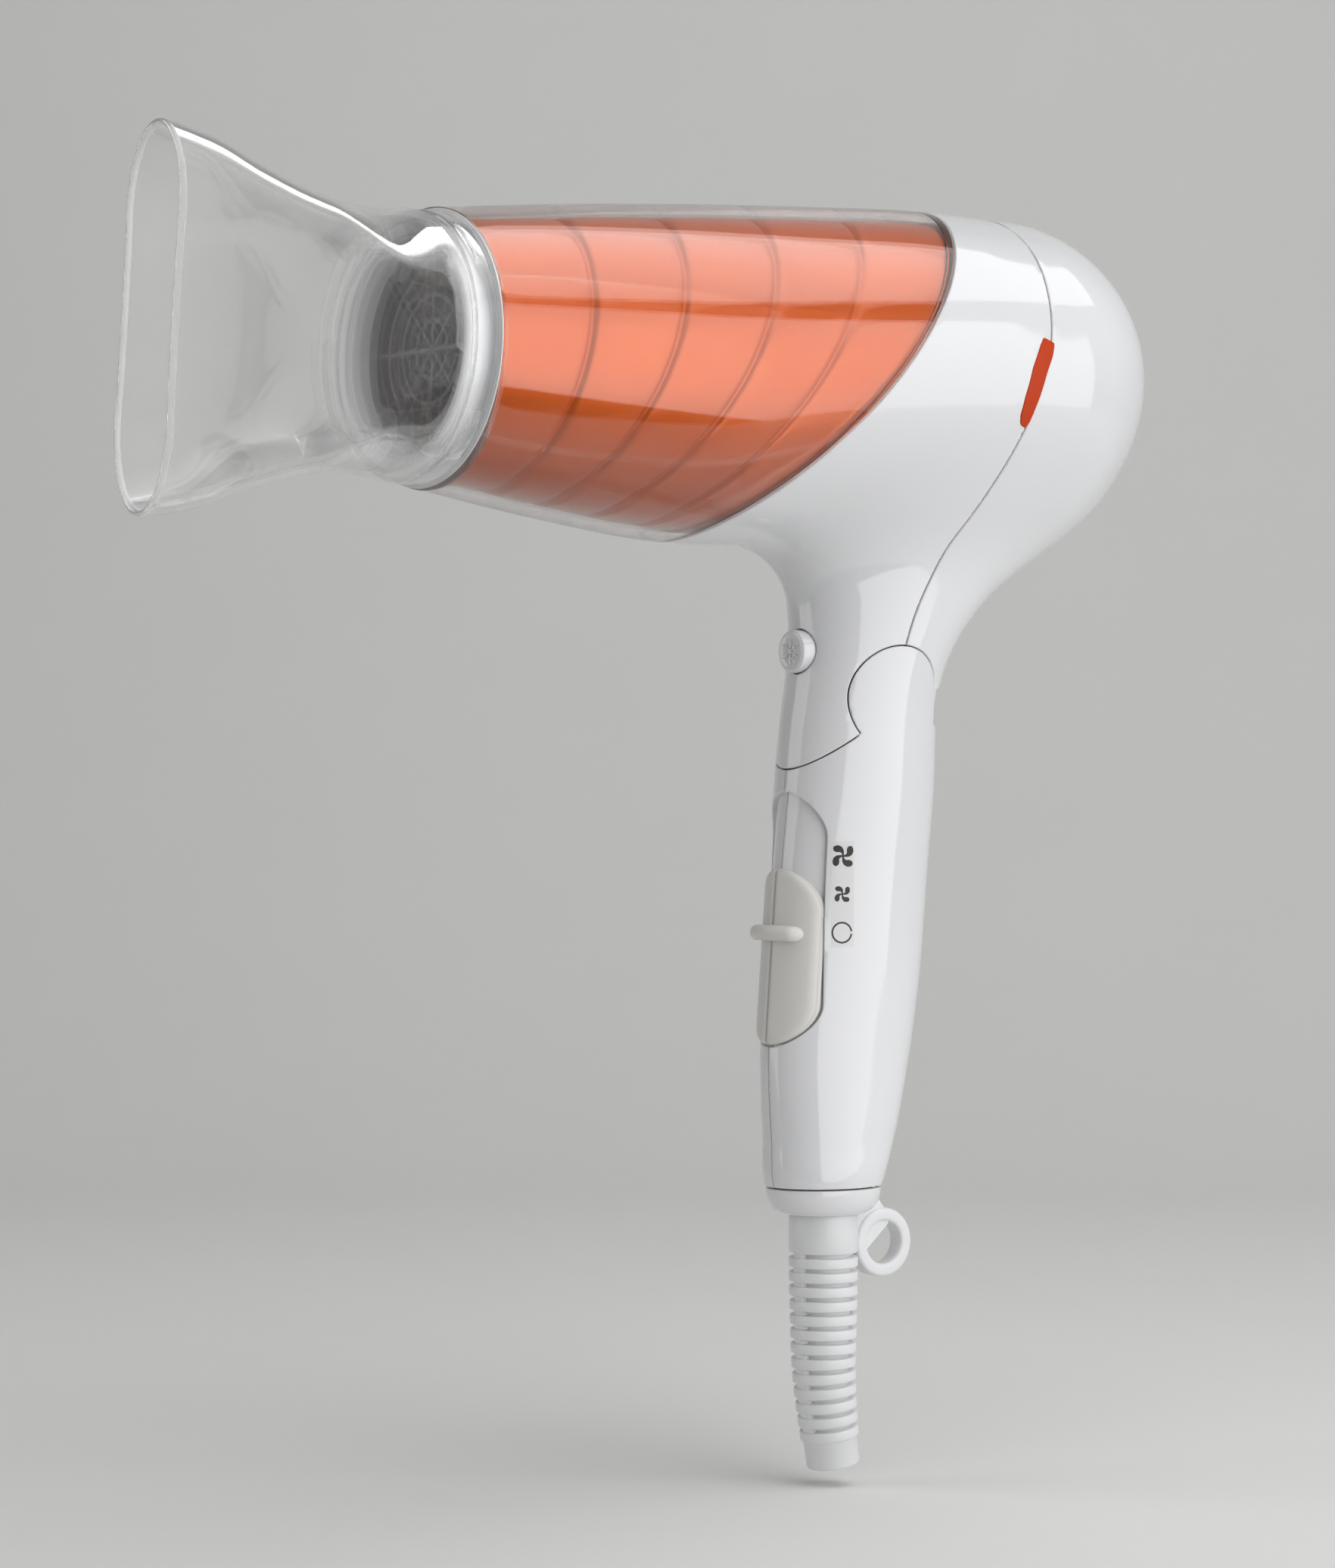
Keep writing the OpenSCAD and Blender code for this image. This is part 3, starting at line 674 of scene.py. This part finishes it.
half = SEAM / 2
white_piece("front_housing_shell", "head", [
    lambda p: -edge_side(p, half),
    lambda p: cover_side(p) + half,
    lambda p: -above_fold(p, SKIRT_ANGLE, 0.0),
    lambda p: -outside_knuckle(p, half),
    lambda p: -tab_side(p, -0.5),
    lambda p: -button_side(p, 0.3),
], ["front_housing"])
white_piece("rear_cover_shell", "head", [
    lambda p: -cover_side(p) + half,
    lambda p: -above_fold(p, SKIRT_ANGLE, 0.0),
    lambda p: -outside_knuckle(p, half),
    lambda p: -tab_side(p, -0.5),
    lambda p: -np.maximum(np.hypot(p[:, 1], p[:, 2] - 202) - 21.8, 60 - p[:, 0]),
], ["rear_cover"])


def handle_cut(p):
    """Negative on the handle's side of the fold."""
    return np.minimum(above_fold(p, NOTCH_ANGLE, -SEAM), outside_knuckle(p, -half))


RECESS_DEPTH = 1.3
# The curved wall behind the knuckle, which closes the gap when the handle folds.
DRUM_R = 18.2
DRUM_HALF = 8.4
drum = []
for a in np.linspace(math.radians(-27.5), math.radians(33.5), 40):
    height = HINGE[1] + DRUM_R * math.sin(a)
    reach = (HINGE[0] + DRUM_R * math.cos(a) - along(COLUMN, 1, height)) / along(COLUMN, 2, height)
    wide = min(DRUM_HALF, along(COLUMN, 3, height) * math.sqrt(1 - reach**2) - 0.9)
    outline = rounded([(DRUM_R - 2, -wide), (DRUM_R, -wide), (DRUM_R, wide), (DRUM_R - 2, wide)], 0.5)
    drum.append([(HINGE[0] + r * math.cos(a), y, HINGE[1] + r * math.sin(a)) for r, y in outline])
drum_v, drum_f = sweep(drum, (True, True))
make("fold_drum", drum_v, drum_f, "handle", MAT["white"], ["handle_left", "handle_right"])
for side, label in ((1, "left"), (-1, "right")):
    white_piece(f"handle_{label}_shell", "handle", [
        lambda p: CAP_Z + 0.15 - p[:, 2],
        handle_cut,
        lambda p: 0.08 - side * p[:, 1],
        lambda p: -recess_side(p),
    ], [f"handle_{label}"])
    floor_v, floor_f = cut_body([lambda p: 0.08 - side * p[:, 1], lambda p: recess_side(p, 0.5)])
    floor_n = body_normals(floor_v)
    floor_v, floor_f = shell(floor_v - RECESS_DEPTH * floor_n, floor_f, 0.8, floor_n, 0.1)
    make(f"recess_floor_{label}", floor_v, floor_f, "handle", MAT["white"], [f"handle_{label}"])


TAB_PROUD = 0.22


def tab_patch(side):
    """The tab's face: a bent oblong on the side of the head, a little proud of the shells."""
    # Share of the length, then x, z and half width.
    key = np.array([[0, 37.6, 210.0, 1.5], [0.04, 37.4, 209.6, 2.0], [0.14, 36.4, 207.2, 2.35],
                    [0.38, 34.1, 202.3, 2.4], [0.7, 32.1, 195.3, 2.3], [0.9, 31.1, 191.0, 1.95],
                    [0.97, 30.9, 189.5, 1.3], [1, 30.8, 189.0, 0.7]])
    grid = []
    share = np.concatenate([np.linspace(0, 0.12, 8), np.linspace(0.16, 0.86, 26), np.linspace(0.89, 1, 9)])
    for t in share:
        x, z, w = (np.interp(t, key[:, 0], key[:, i]) for i in (1, 2, 3))
        for q in np.linspace(-1, 1, 13):
            grid.append((x + 0.93 * w * q, side * 39.0, z - 0.36 * w * q))
    grid = np.array(grid)
    for _ in range(8):
        value = body_field(*grid.T)
        slope = gradient(body_field, grid)[:, 1]
        grid[:, 1] -= value / slope
    rows = [[i * 13 + j, i * 13 + j + 1, (i + 1) * 13 + j + 1, (i + 1) * 13 + j]
            for i in range(len(share) - 1) for j in range(12)]
    n = body_normals(grid)
    a, b, c, d = grid[rows[200]]
    if np.cross(c - a, d - b) @ n[rows[200][0]] < 0:
        rows = [r[::-1] for r in rows]
    return shell(grid + TAB_PROUD * n, rows, 3.0, n, 0.3)


tab_v, tab_f = join(tab_patch(1), tab_patch(-1))
make("side_tab_skins", tab_v, tab_f, "head", MAT["tab"], ["side_tabs"])


# ---------------------------------------------------------------------------
# Barrel: a clear cover over a coloured liner in five soft panels
# ---------------------------------------------------------------------------
def barrel_ring(t, millimetres, inset, start, gap, count=160):
    """A ring round the barrel, a share t of the way from the front to the slanted edge."""
    a = np.linspace(0, 2 * math.pi, count, endpoint=False)
    x = np.full(count, 0.0)
    for _ in range(12):
        z = along(HEAD, 1, x) + (along(HEAD, 2, x) - inset) * np.sin(a)
        x = EDGE_ARC[0] + np.sqrt((EDGE_ARC[2] - gap)**2 - (z - EDGE_ARC[1])**2)
    x = start + t * (x - start) + millimetres
    r = along(HEAD, 2, x) - inset
    return np.stack([x, r * np.cos(a), along(HEAD, 1, x) + r * np.sin(a)], 1)


def barrel_wall(inset, thickness, start, gap, relief, stations):
    """A closed wall between the front and the slanted edge, with half-round ends."""
    rings = [barrel_ring(t, mm, inset + relief(t, mm), start, gap) for t, mm in stations]
    r = thickness / 2
    for k in range(1, 8):
        a = math.pi * k / 8
        rings.append(barrel_ring(1, r * math.sin(a) - r, inset + r - r * math.cos(a), start, gap))
    rings += [barrel_ring(t, 0, inset + thickness, start, gap) for t in np.linspace(0.995, 0.005, 30)]
    for k in range(1, 8):
        a = math.pi * k / 8
        rings.append(barrel_ring(0, r - r * math.sin(a), inset + r + r * math.cos(a), start, gap))
    return sweep(rings, loop=True)


PANELS = 5
stations = []
for k in range(PANELS):
    stations += [(k / PANELS, mm) for mm in ((0.0,) if k == 0 else (0.0, 0.3, 0.6, 1.0, 1.6))]
    stations += [((k + u) / PANELS, 0.0) for u in np.linspace(0.12, 0.88, 10)]
    stations += [((k + 1) / PANELS, -mm) for mm in ((0.1,) if k == PANELS - 1 else (1.6, 1.0, 0.6, 0.3))]


def panel_relief(t, millimetres):
    """Each panel of the liner swells a little and meets the next in a soft groove."""
    place = t * PANELS + millimetres / 20
    u = place - math.floor(place)
    swell = 0.35 * abs(2 * u - 1)**3
    near = round(t * PANELS)
    if near in (0, PANELS) or abs(t * PANELS - near) > 1e-6:
        return swell
    return swell + 0.65 * math.exp(-(millimetres / 0.85)**2)


liner_v, liner_f = barrel_wall(3.0, 1.2, FRONT[0] + 0.3, half, panel_relief, stations)
make("barrel_liner_skin", liner_v, liner_f, "head", MAT["orange"], ["barrel_liner"], 60)
cover_v, cover_f = barrel_wall(0.0, 2.4, FRONT[0] - 0.8, half, lambda t, mm: 0.0,
                               [(t, 0.0) for t in np.linspace(0, 0.995, 48)])
make("barrel_cover_glass", cover_v, cover_f, "head", MAT["cover"], ["barrel_cover"], 60)

# ---------------------------------------------------------------------------
# Outlet and nozzle
# ---------------------------------------------------------------------------
AXIS = np.array([-math.cos(TILT), 0, math.sin(TILT)])
OUTLET = np.array([FRONT[0], 0, FRONT[1]])


def ring_on_barrel(profile, count=128):
    return turned(rounded(profile, 0.5), OUTLET, AXIS, count)


outlet_v, outlet_f = join(
    ring_on_barrel([(25.2, -3), (27.2, -3), (27.2, 0.8), (28.2, 0.8), (28.2, 7.4), (27.2, 7.9), (25.2, 7.4)]),
    ring_on_barrel([(24.0, -2.4), (25.3, -2.4), (25.3, 6.2), (24.6, 6.2)]),
    ring_on_barrel([(26.5, 0.9), (31.5, 0.9), (31.8, 1.5), (26.5, 1.5)]))
make("outlet_ring_skin", outlet_v, outlet_f, "head", MAT["white"], ["outlet_ring"])

bars = []
for radius in (6.5, 12.3, 18.1):
    low, high = radius - 0.6, radius + 0.6
    bars.append(ring_on_barrel([(low, -2.3), (high, -2.3), (high, 0), (low, 0)], 96))
bars.append(ring_on_barrel([(23.6, -2.4), (24.9, -2.4), (24.9, 1.5), (23.6, 1.5)], 96))
side_axis = np.array([0, 1, 0])
up_axis = np.cross(AXIS, side_axis)
for k in range(4):
    a = math.pi * k / 4
    out = math.cos(a) * side_axis + math.sin(a) * up_axis
    wide = np.cross(AXIS, out)
    spoke = []
    for s in np.linspace(-24, 24, 25):
        spoke.append([OUTLET + out * s + wide * y + AXIS * h
                      for y, h in rounded([(-0.5, -2.2), (0.5, -2.2), (0.5, -0.2), (-0.5, -0.2)], 0.3)])
    bars.append(sweep(spoke, (True, True)))
grille_v, grille_f = join(*bars)
# The bars' dark grey is partly painted shade standing in for the shaded inside of the outlet.
make("outlet_bars", grille_v, grille_f, "head", MAT["grey_and_painted_shade"], ["outlet_grille"])

collar = [ring_on_barrel([(28.6, 1.6), (30.7, 1.6), (31, 2.2), (31, 6.2), (30.6, 6.8), (28.6, 6.8)])]
steps = []
for k in range(180):
    a = 2 * math.pi * k / 180
    out = math.cos(a) * side_axis + math.sin(a) * up_axis
    notch = 1 / (1 + math.exp(-22 * math.sin(4 * a + 0.5)))
    front = 8.6 + 2.6 * notch
    steps.append([OUTLET + out * r + AXIS * s for r, s in rounded(
        [(28.35, 6.6), (28.35, front), (29.1 + 0.15 * notch, front), (29.1, 6.6)], 0.25)])
collar.append(sweep(steps, loop=True))
for k in range(4):
    middle = math.radians(45 + 90 * k)
    lug = []
    for b in np.linspace(-0.24, 0.24, 17):
        out = math.cos(middle + b) * side_axis + math.sin(middle + b) * up_axis
        grow = 0.8 * (1 - (abs(b) / 0.245)**8)
        lug.append([OUTLET + out * (30.6 + r * (0.3 + grow)) + AXIS * s
                    for r, s in rounded([(0, 3.0), (1, 3.0), (1, 5.4), (0, 5.4)], 0.3)])
    collar.append(sweep(lug, (True, True)))
collar_v, collar_f = join(*collar)
make("nozzle_ring_glass", collar_v, collar_f, "nozzle_turn", MAT["clear"], ["nozzle_ring"])

FLAT = 22.5
TWIST = math.radians(7)


def nozzle_section(x, inset):
    """A tall section with hollowed sides and elliptical ends, twisted a little about the barrel."""
    h = along(NOZZLE, 2, x) - inset
    w = along(NOZZLE, 3, x) - inset
    zc = along(NOZZLE, 1, x)
    blend = np.clip((-124 - x) / 26, 0, 1)
    blend = blend * blend * (3 - 2 * blend)
    f = 2 + (FLAT - 2) * blend
    ring = []
    for s in (1, -1):
        for a in np.linspace(0, math.pi, 41):
            ring.append((s * w * math.cos(a), s * (f + (h - f) * math.sin(a))))
        for q in np.linspace(1, -1, 15)[1:-1]:
            hollow = 0.55 * blend * math.sqrt(1 - q * q)
            ring.append((-s * (w - hollow), s * f * q))
    c, n = math.cos(TWIST), math.sin(TWIST)
    return [(x, y * c - z * n, zc + y * n + z * c) for y, z in ring]


GLASS = 1.5
mouth, root = NOZZLE[-1, 0], NOZZLE[0, 0]
rings = [nozzle_section(x, 0.0) for x in np.linspace(root - 0.8, mouth + 0.8, 64)]
rings += [nozzle_section(mouth + 0.75 - 0.75 * math.sin(a), GLASS / 2 * (1 - math.cos(a)))
          for a in np.linspace(0.15, math.pi - 0.15, 9)]
rings += [nozzle_section(x, GLASS) for x in np.linspace(mouth + 0.8, root - 0.8, 64)]
rings += [nozzle_section(root - 0.75 + 0.75 * math.sin(a), GLASS / 2 * (1 + math.cos(a)))
          for a in np.linspace(0.15, math.pi - 0.15, 9)]
nozzle_v, nozzle_f = sweep(rings, loop=True)
make("nozzle_glass", nozzle_v, nozzle_f, "nozzle", MAT["clear"], ["nozzle"], 50)
RIM = 0.8
rim_rings = [nozzle_section(mouth + RIM * (1 - math.sin(a)), GLASS / 2 - RIM * math.cos(a))
             for a in np.linspace(0, 2 * math.pi, 16, endpoint=False)]
rim_v, rim_f = sweep(rim_rings, loop=True)
make("nozzle_rim", rim_v, rim_f, "nozzle", MAT["rim"], ["nozzle"], 60)

# ---------------------------------------------------------------------------
# Button with a raised snowflake
# ---------------------------------------------------------------------------
BUTTON_AXIS = (-1, 0, 0)
button_at = (BUTTON[0], 0, BUTTON[1])
cap = turned([(0.05, -4.4), (6.2, -4.4), (6.2, -3.4), (5.2, -3.1), (5.2, 2.7), (5.08, 3.15), (4.75, 3.45),
              (4.3, 3.56), (3.9, 3.45), (3.0, 3.4), (1.5, 3.38), (0.05, 3.38)], button_at, BUTTON_AXIS, 64)


def stroke(a, b, width, low, high):
    """A raised line on the button's face, with rounded edges, from a to b in (y, z)."""
    a, b = np.array(a, float), np.array(b, float)
    d = (b - a) / np.linalg.norm(b - a)
    e = np.array([-d[1], d[0]])
    rings = []
    for s in np.linspace(0, 1, 5):
        c = a + (b - a) * s
        section = rounded([(-width, low), (width, low), (width * 0.8, high), (-width * 0.8, high)], 0.08)
        rings.append([(BUTTON[0] - h, c[0] + e[0] * w, BUTTON[1] + c[1] + e[1] * w) for w, h in section])
    return sweep(rings, (True, True))


flake = []
for k in range(6):
    a = math.pi / 3 * k + math.pi / 6
    out = np.array([math.cos(a), math.sin(a)])
    flake.append(stroke(out * 0.05, out * 3.3, 0.19, 3.2, 3.78))
    for turn in (-1, 1):
        b = a + turn * 0.85
        arm = np.array([math.cos(b), math.sin(b)])
        for at, reach in ((1.5, 0.9), (2.4, 0.75)):
            flake.append(stroke(out * at, out * at + arm * reach, 0.15, 3.2, 3.72))
button_v, button_f = join(cap, *flake)
make("cool_button_cap", button_v, button_f, "cool_button", MAT["white"], ["cool_button"])

# ---------------------------------------------------------------------------
# Thumb slider: a curved plate with a parting line and a cross bar
# ---------------------------------------------------------------------------
PROUD = 1.2
# Half depth and half width of the handle behind the slider.
FRONT_A = 20.9
FRONT_B = 14.3
BAR_Z = 27
BAR_R = 1.9


def plate_front(y):
    """Local X of the handle's round front, moved out by PROUD."""
    return FRONT_A - (FRONT_A + PROUD) * np.sqrt(1 - (y / (FRONT_B + PROUD))**2)


def plate_height(y, z):
    """Local X of the slider's face, with a rounded edge and a parting line down the middle."""
    d = np.clip(-stadium(y, z, SLIDER_W, 0.2, SLIDER_H), 0, 1.3)
    drop = 1.3 - np.sqrt(np.maximum(1.69 - (1.3 - d)**2, 0))
    line = 0.6 * np.exp(-(y / 0.3)**2)
    return plate_front(y) + drop * 0.9 + line


across = np.array([0, 0.01, 0.02, 0.034, 0.06, 0.12, 0.25, 0.4, 0.55, 0.68, 0.78, 0.86,
                   0.91, 0.95, 0.975, 0.99, 1.0])
across = np.concatenate([-across[:0:-1], across])
end_r = SLIDER_W / 2
rise = [0.2 + end_r * (1 - math.cos(a)) for a in np.linspace(0.06, math.pi / 2, 22)]
levels = rise + list(np.linspace(rise[-1] + 1, SLIDER_H - end_r - 1, 20))
levels += [SLIDER_H + 0.2 - z for z in rise[::-1]]
plate = []
for z in levels:
    off = max(0.2 + end_r - z, z - (SLIDER_H - end_r), 0)
    w = math.sqrt(max(end_r**2 - off**2, 0))
    for u in across:
        plate.append((plate_height(u * w, z), u * w, z))
plate = np.array(plate)
m = len(across)
plate_f = [[(i + 1) * m + j, (i + 1) * m + j + 1, i * m + j + 1, i * m + j]
           for i in range(len(levels) - 1) for j in range(m - 1)]
plate_w = from_slide(*plate.T)
out_dir = from_slide(-1, 0, 0) - from_slide(0, 0, 0)
plate_v, plate_f = shell(plate_w, plate_f, 1.0, np.tile(out_dir, (len(plate_w), 1)), 0.05)

rings = []
REACH = 8.6
for q in np.linspace(-1, 1, 49):
    s = REACH * math.sin(q * math.pi / 2)
    end = max(REACH - abs(s), 0)
    r = math.sqrt(max(1 - (max(1.6 - end, 0) / 1.6)**2, 0.0004)) * (1 - 0.08 * math.exp(-(s / 1.0)**2))
    x = plate_front(s) - 1.5
    rings.append([from_slide(x - 2.2 * r * math.cos(a), s, BAR_Z + BAR_R * r * math.sin(a))
                  for a in np.linspace(0, 2 * math.pi, 24, endpoint=False)])
bar = sweep(rings, (True, True))
slider_v, slider_f = join((plate_v, plate_f), bar)
make("slider_plate", slider_v, slider_f, "thumb_slider", MAT["slider"], ["thumb_slider"], 50)

# ---------------------------------------------------------------------------
# End cap, ribbed sleeve and hanging loop
# ---------------------------------------------------------------------------
WEB_HALF = 1.7


def oval(z, a, b, count=96):
    t = np.linspace(0, 2 * math.pi, count, endpoint=False)
    return np.stack([along(COLUMN, 1, z) + a * np.cos(t), b * np.sin(t), np.full(count, z)], 1)


dome = [oval(0.0, 8.6, 7.6)]
for s in np.linspace(0, 1, 22):
    lift = 1 - math.cos(s * math.pi / 2)
    z = 6.3 * lift
    spread = math.sin(s * math.pi / 2)**0.9
    dome.append(oval(z, 9.6 + (14.78 - 9.6) * spread, 8.6 + (12.6 - 8.6) * spread))
dome += [oval(6.45, 14.5, 12.35), oval(6.45, 12.8, 10.7), oval(3.0, 10.6, 8.8)]
cap_v, cap_f = sweep(dome, (True, True))
make("end_cap_dome", cap_v, cap_f, "handle", MAT["white"], ["end_cap"], 40)


def sleeve_axis(z):
    return 2.9 * (max(-34 - z, 0) / 26)**1.6


def sleeve_ring(z, radius, web):
    """A ring square to the bent sleeve. A web along the front and back fills the gaps between ribs."""
    slope = (sleeve_axis(z - 0.05) - sleeve_axis(z + 0.05)) / 0.1
    k = math.hypot(1, slope)
    ring = []
    for a in np.linspace(0, 2 * math.pi, 120, endpoint=False):
        r = radius
        from_web = abs(math.remainder(a, math.pi))
        if web is not None and from_web * radius < WEB_HALF:
            r = max(r, web)
        ring.append((sleeve_axis(z) + r * math.cos(a) / k, r * math.sin(a), z + r * math.cos(a) * slope / k))
    return ring


PITCH = 3.45
RIBS = 13
sleeve = [sleeve_ring(-0.05, 4.0, None), sleeve_ring(-0.05, 8.2, None), sleeve_ring(-0.4, 8.4, None),
          sleeve_ring(-9.0, 8.4, None), sleeve_ring(-9.4, 8.15, None)]
for k in range(RIBS):
    top = -10.5 - k * PITCH
    share = k / (RIBS - 1)
    out = 8.38 - 1.25 * share**1.5
    core = out - 1.7
    web = out - 0.45
    if k == 0:
        sleeve += [sleeve_ring(-9.5, core + 0.3, web), sleeve_ring(-9.7, core, web)]
    sleeve += [sleeve_ring(top + 0.2, core, web), sleeve_ring(top, core + 0.3, web),
               sleeve_ring(top, out - 0.35, None), sleeve_ring(top - 0.12, out - 0.1, None),
               sleeve_ring(top - 0.4, out, None),
               sleeve_ring(top - 2.0, out, None), sleeve_ring(top - 2.28, out - 0.1, None),
               sleeve_ring(top - 2.4, out - 0.35, None)]
    if k < RIBS - 1:
        sleeve += [sleeve_ring(top - 2.4, core + 0.3, web), sleeve_ring(top - 2.55, core, web)]
last = -10.5 - (RIBS - 1) * PITCH - 2.4
foot = -61.0
for z, r in ((last, 6.7), (last - 0.3, 6.5), (foot + 0.7, 6.45), (foot + 0.2, 6.3), (foot, 5.9), (foot, 4.0),
             (foot + 0.4, 3.4), (foot + 12, 3.3)):
    sleeve.append(sleeve_ring(z, r, None))
rings_v, rings_f = sweep(sleeve, (True, True))

loop_profile = rounded([(5.25, -2.5), (8.4, -2.5), (8.4, 2.5), (5.25, 2.5)], 1.0, 5)
loop = turned(loop_profile, LOOP, (0, 1, 0), 96)
web_outline = rounded([(7.5, -9.2), (7.5, -0.3), (13.2, 2.6), (15.6, 3.2), (17.2, 0.6), (20.2, -0.6),
                       (19, -3.5), (10.5, -11)], 1.2, 4)
web_rings = [[(c[0] * k + 14 * (1 - k), y, c[1] * k - 3 * (1 - k)) for c in web_outline]
             for y, k in ((-1.7, 0.96), (-1.45, 0.995), (-1.1, 1.0), (1.1, 1.0), (1.45, 0.995), (1.7, 0.96))]
web_part = sweep(web_rings, (True, True))
relief_v, relief_f = join((rings_v, rings_f), loop, web_part)
make("strain_relief_skin", relief_v, relief_f, "handle", MAT["white_soft"], ["strain_relief"], 38)

# ---------------------------------------------------------------------------
# Printed signs beside the slider: strong fan, weak fan, off
# ---------------------------------------------------------------------------
def print_on_handle(name, centre, patches, material="mark", lift=0.05,
                    thick=0.12):
    """Wraps flat patches of (u, v) grids onto the near side of the handle, a hair thick."""
    verts, rows = [], []
    c = np.array([centre], float)
    for _ in range(6):
        n = body_normals(c)
        c = c - body_field(*c.T)[:, None] * n
    n = body_normals(c)[0]
    v = np.array([0, 0, 1.0]) - n[2] * n
    v /= np.linalg.norm(v)
    u = np.cross(v, n)
    base = 0
    for grid in patches:
        grid = np.asarray(grid, float)
        p = c[0] + grid[..., :1] * u + grid[..., 1:] * v
        flat = p.reshape(-1, 3)
        for _ in range(4):
            flat = flat - (body_field(*flat.T) - lift)[:, None] * body_normals(flat)
        verts.append(flat)
        rows_n, cols_n = grid.shape[:2]
        for i in range(rows_n - 1):
            for j in range(cols_n - 1):
                a = base + i * cols_n + j
                rows.append([a, a + 1, a + cols_n + 1, a + cols_n])
        base += rows_n * cols_n
    verts = np.concatenate(verts)
    normals = body_normals(verts)
    q = verts[rows[0]]
    if np.cross(q[2] - q[0], q[3] - q[1]) @ normals[0] < 0:
        rows = [r[::-1] for r in rows]
    verts, rows = shell(verts, rows, thick, normals, 0.02)
    return make(name, verts, rows, "handle", MAT[material])


def fan_blades(radius):
    """Four blades that leave the middle thin and end in a round lobe, bent the same way round."""
    patches = []
    for k in range(4):
        c, n = math.cos(math.pi / 2 * k), math.sin(math.pi / 2 * k)
        spine = [(0, 0), (-0.01, 0.16), (-0.04, 0.32), (-0.11, 0.47), (-0.24, 0.59), (-0.4, 0.65),
                 (-0.57, 0.66), (-0.72, 0.64), (-0.83, 0.61), (-0.89, 0.59)]
        width = [0.08, 0.09, 0.13, 0.2, 0.27, 0.31, 0.31, 0.27, 0.19, 0.07]
        grid = []
        for i, (x, y) in enumerate(spine):
            x0, y0 = spine[max(i - 1, 0)]
            x1, y1 = spine[min(i + 1, len(spine) - 1)]
            d = math.hypot(x1 - x0, y1 - y0)
            ex, ey = (y1 - y0) / d, -(x1 - x0) / d
            row = []
            for q in np.linspace(-1, 1, 7):
                u, v = x + ex * width[i] * q, y + ey * width[i] * q
                row.append((radius * (u * c - v * n), radius * (u * n + v * c)))
            grid.append(row)
        patches.append(grid)
    return patches


def circle_line(radius, width):
    return [[[(r * math.cos(a), r * math.sin(a)) for r in (radius - width, radius)]
             for a in np.linspace(0.12, 2 * math.pi - 0.12, 73)]]


film = [[(u, v) for u in np.linspace(-2.9, 2.9, 12)] for v in np.linspace(-12.6, 12.6, 40)]
print_on_handle("label_film", (-4.15, -12.9, 77.4), [film], "film", 0.015, 0.06)
print_on_handle("sign_fan_strong", (-4.0, -12.9, 86.5), fan_blades(2.65))
print_on_handle("sign_fan_weak", (-4.2, -12.9, 77.4), fan_blades(1.95))
print_on_handle("sign_off", (-4.3, -12.9, 68.2), circle_line(2.6, 0.42))

# ---------------------------------------------------------------------------
# Camera, light and ground
# ---------------------------------------------------------------------------
AZIMUTH = math.radians(-35.5)
LENS_PX = 5500
FRAME_PX = 2072
DISTANCE = 980
TARGET = np.array([-46.3, 0, 103.7])
HEAD_CENTRE = (0, 0, 190)
FLOOR_Z = -66


def look_from(obj, place, target):
    obj.location = place
    obj.rotation_euler = (Vector(target) - Vector(place)).to_track_quat("-Z", "Y").to_euler()


camera = bpy.data.objects.new("camera", bpy.data.cameras.new("camera"))
bpy.context.collection.objects.link(camera)
camera.data.sensor_width = 36
camera.data.lens = 36 * LENS_PX / FRAME_PX
ahead = np.array([-math.sin(AZIMUTH), math.cos(AZIMUTH), 0])
look_from(camera, to_row(TARGET - DISTANCE * ahead), to_row(TARGET))
bpy.context.scene.camera = camera


def panel(name, azimuth, elevation, distance, size, power):
    """A softbox that faces the head, at an azimuth from -Y towards +X."""
    light = bpy.data.lights.new(name, "AREA")
    light.shape = "RECTANGLE"
    light.size, light.size_y = size
    light.energy = power
    obj = bpy.data.objects.new(name, light)
    bpy.context.collection.objects.link(obj)
    a, e = math.radians(azimuth), math.radians(elevation)
    centre = Vector(to_row(HEAD_CENTRE))
    way = Vector((math.sin(a) * math.cos(e), -math.cos(a) * math.cos(e), math.sin(e)))
    look_from(obj, centre + way * distance, centre)
    return obj


panel("front_box", 12, 1, 0.95, (1.33, 1.14), 9.5)
panel("top_box", 36, 66, 1.2, (1.5, 1.22), 11.0)
panel("left_box", -120, 12, 1.4, (0.9, 1.4), 5.5)

world = bpy.data.worlds.new("studio")
world.use_nodes = True
world.node_tree.nodes["Background"].inputs["Color"].default_value = (0.62, 0.62, 0.615, 1)
world.node_tree.nodes["Background"].inputs["Strength"].default_value = 0.17
bpy.context.scene.world = world
bpy.context.scene.view_settings.view_transform = "Standard"


def backdrop():
    """A pale sheet that is the floor and curves up behind the object."""
    floor = to_row((0, 0, FLOOR_Z))[2]
    back, radius, top, wide = 1.3, 0.6, 3.2, 3.5
    profile = [(-0.22, 0.0), (back - radius, 0.0)]
    for k in range(1, 17):
        a = math.pi / 2 * k / 16
        profile.append((back - radius + radius * math.sin(a), radius * (1 - math.cos(a))))
    profile.append((back, top))
    c, s = math.cos(AZIMUTH), math.sin(AZIMUTH)
    verts, rows = [], []
    for y, z in profile:
        for x in (-wide, wide):
            verts.append((c * x - s * y, s * x + c * y, floor + z))
    for i in range(len(profile) - 1):
        rows.append((2 * i, 2 * i + 1, 2 * i + 3, 2 * i + 2))
    mesh = bpy.data.meshes.new("backdrop")
    mesh.from_pydata(verts, [], rows)
    mesh.polygons.foreach_set("use_smooth", [True] * len(mesh.polygons))
    obj = bpy.data.objects.new("backdrop", mesh)
    bpy.context.collection.objects.link(obj)
    mesh.materials.append(plastic("backdrop_paper", (0.79, 0.79, 0.78), 0.9, 0.006, 300, 0.05))


backdrop()
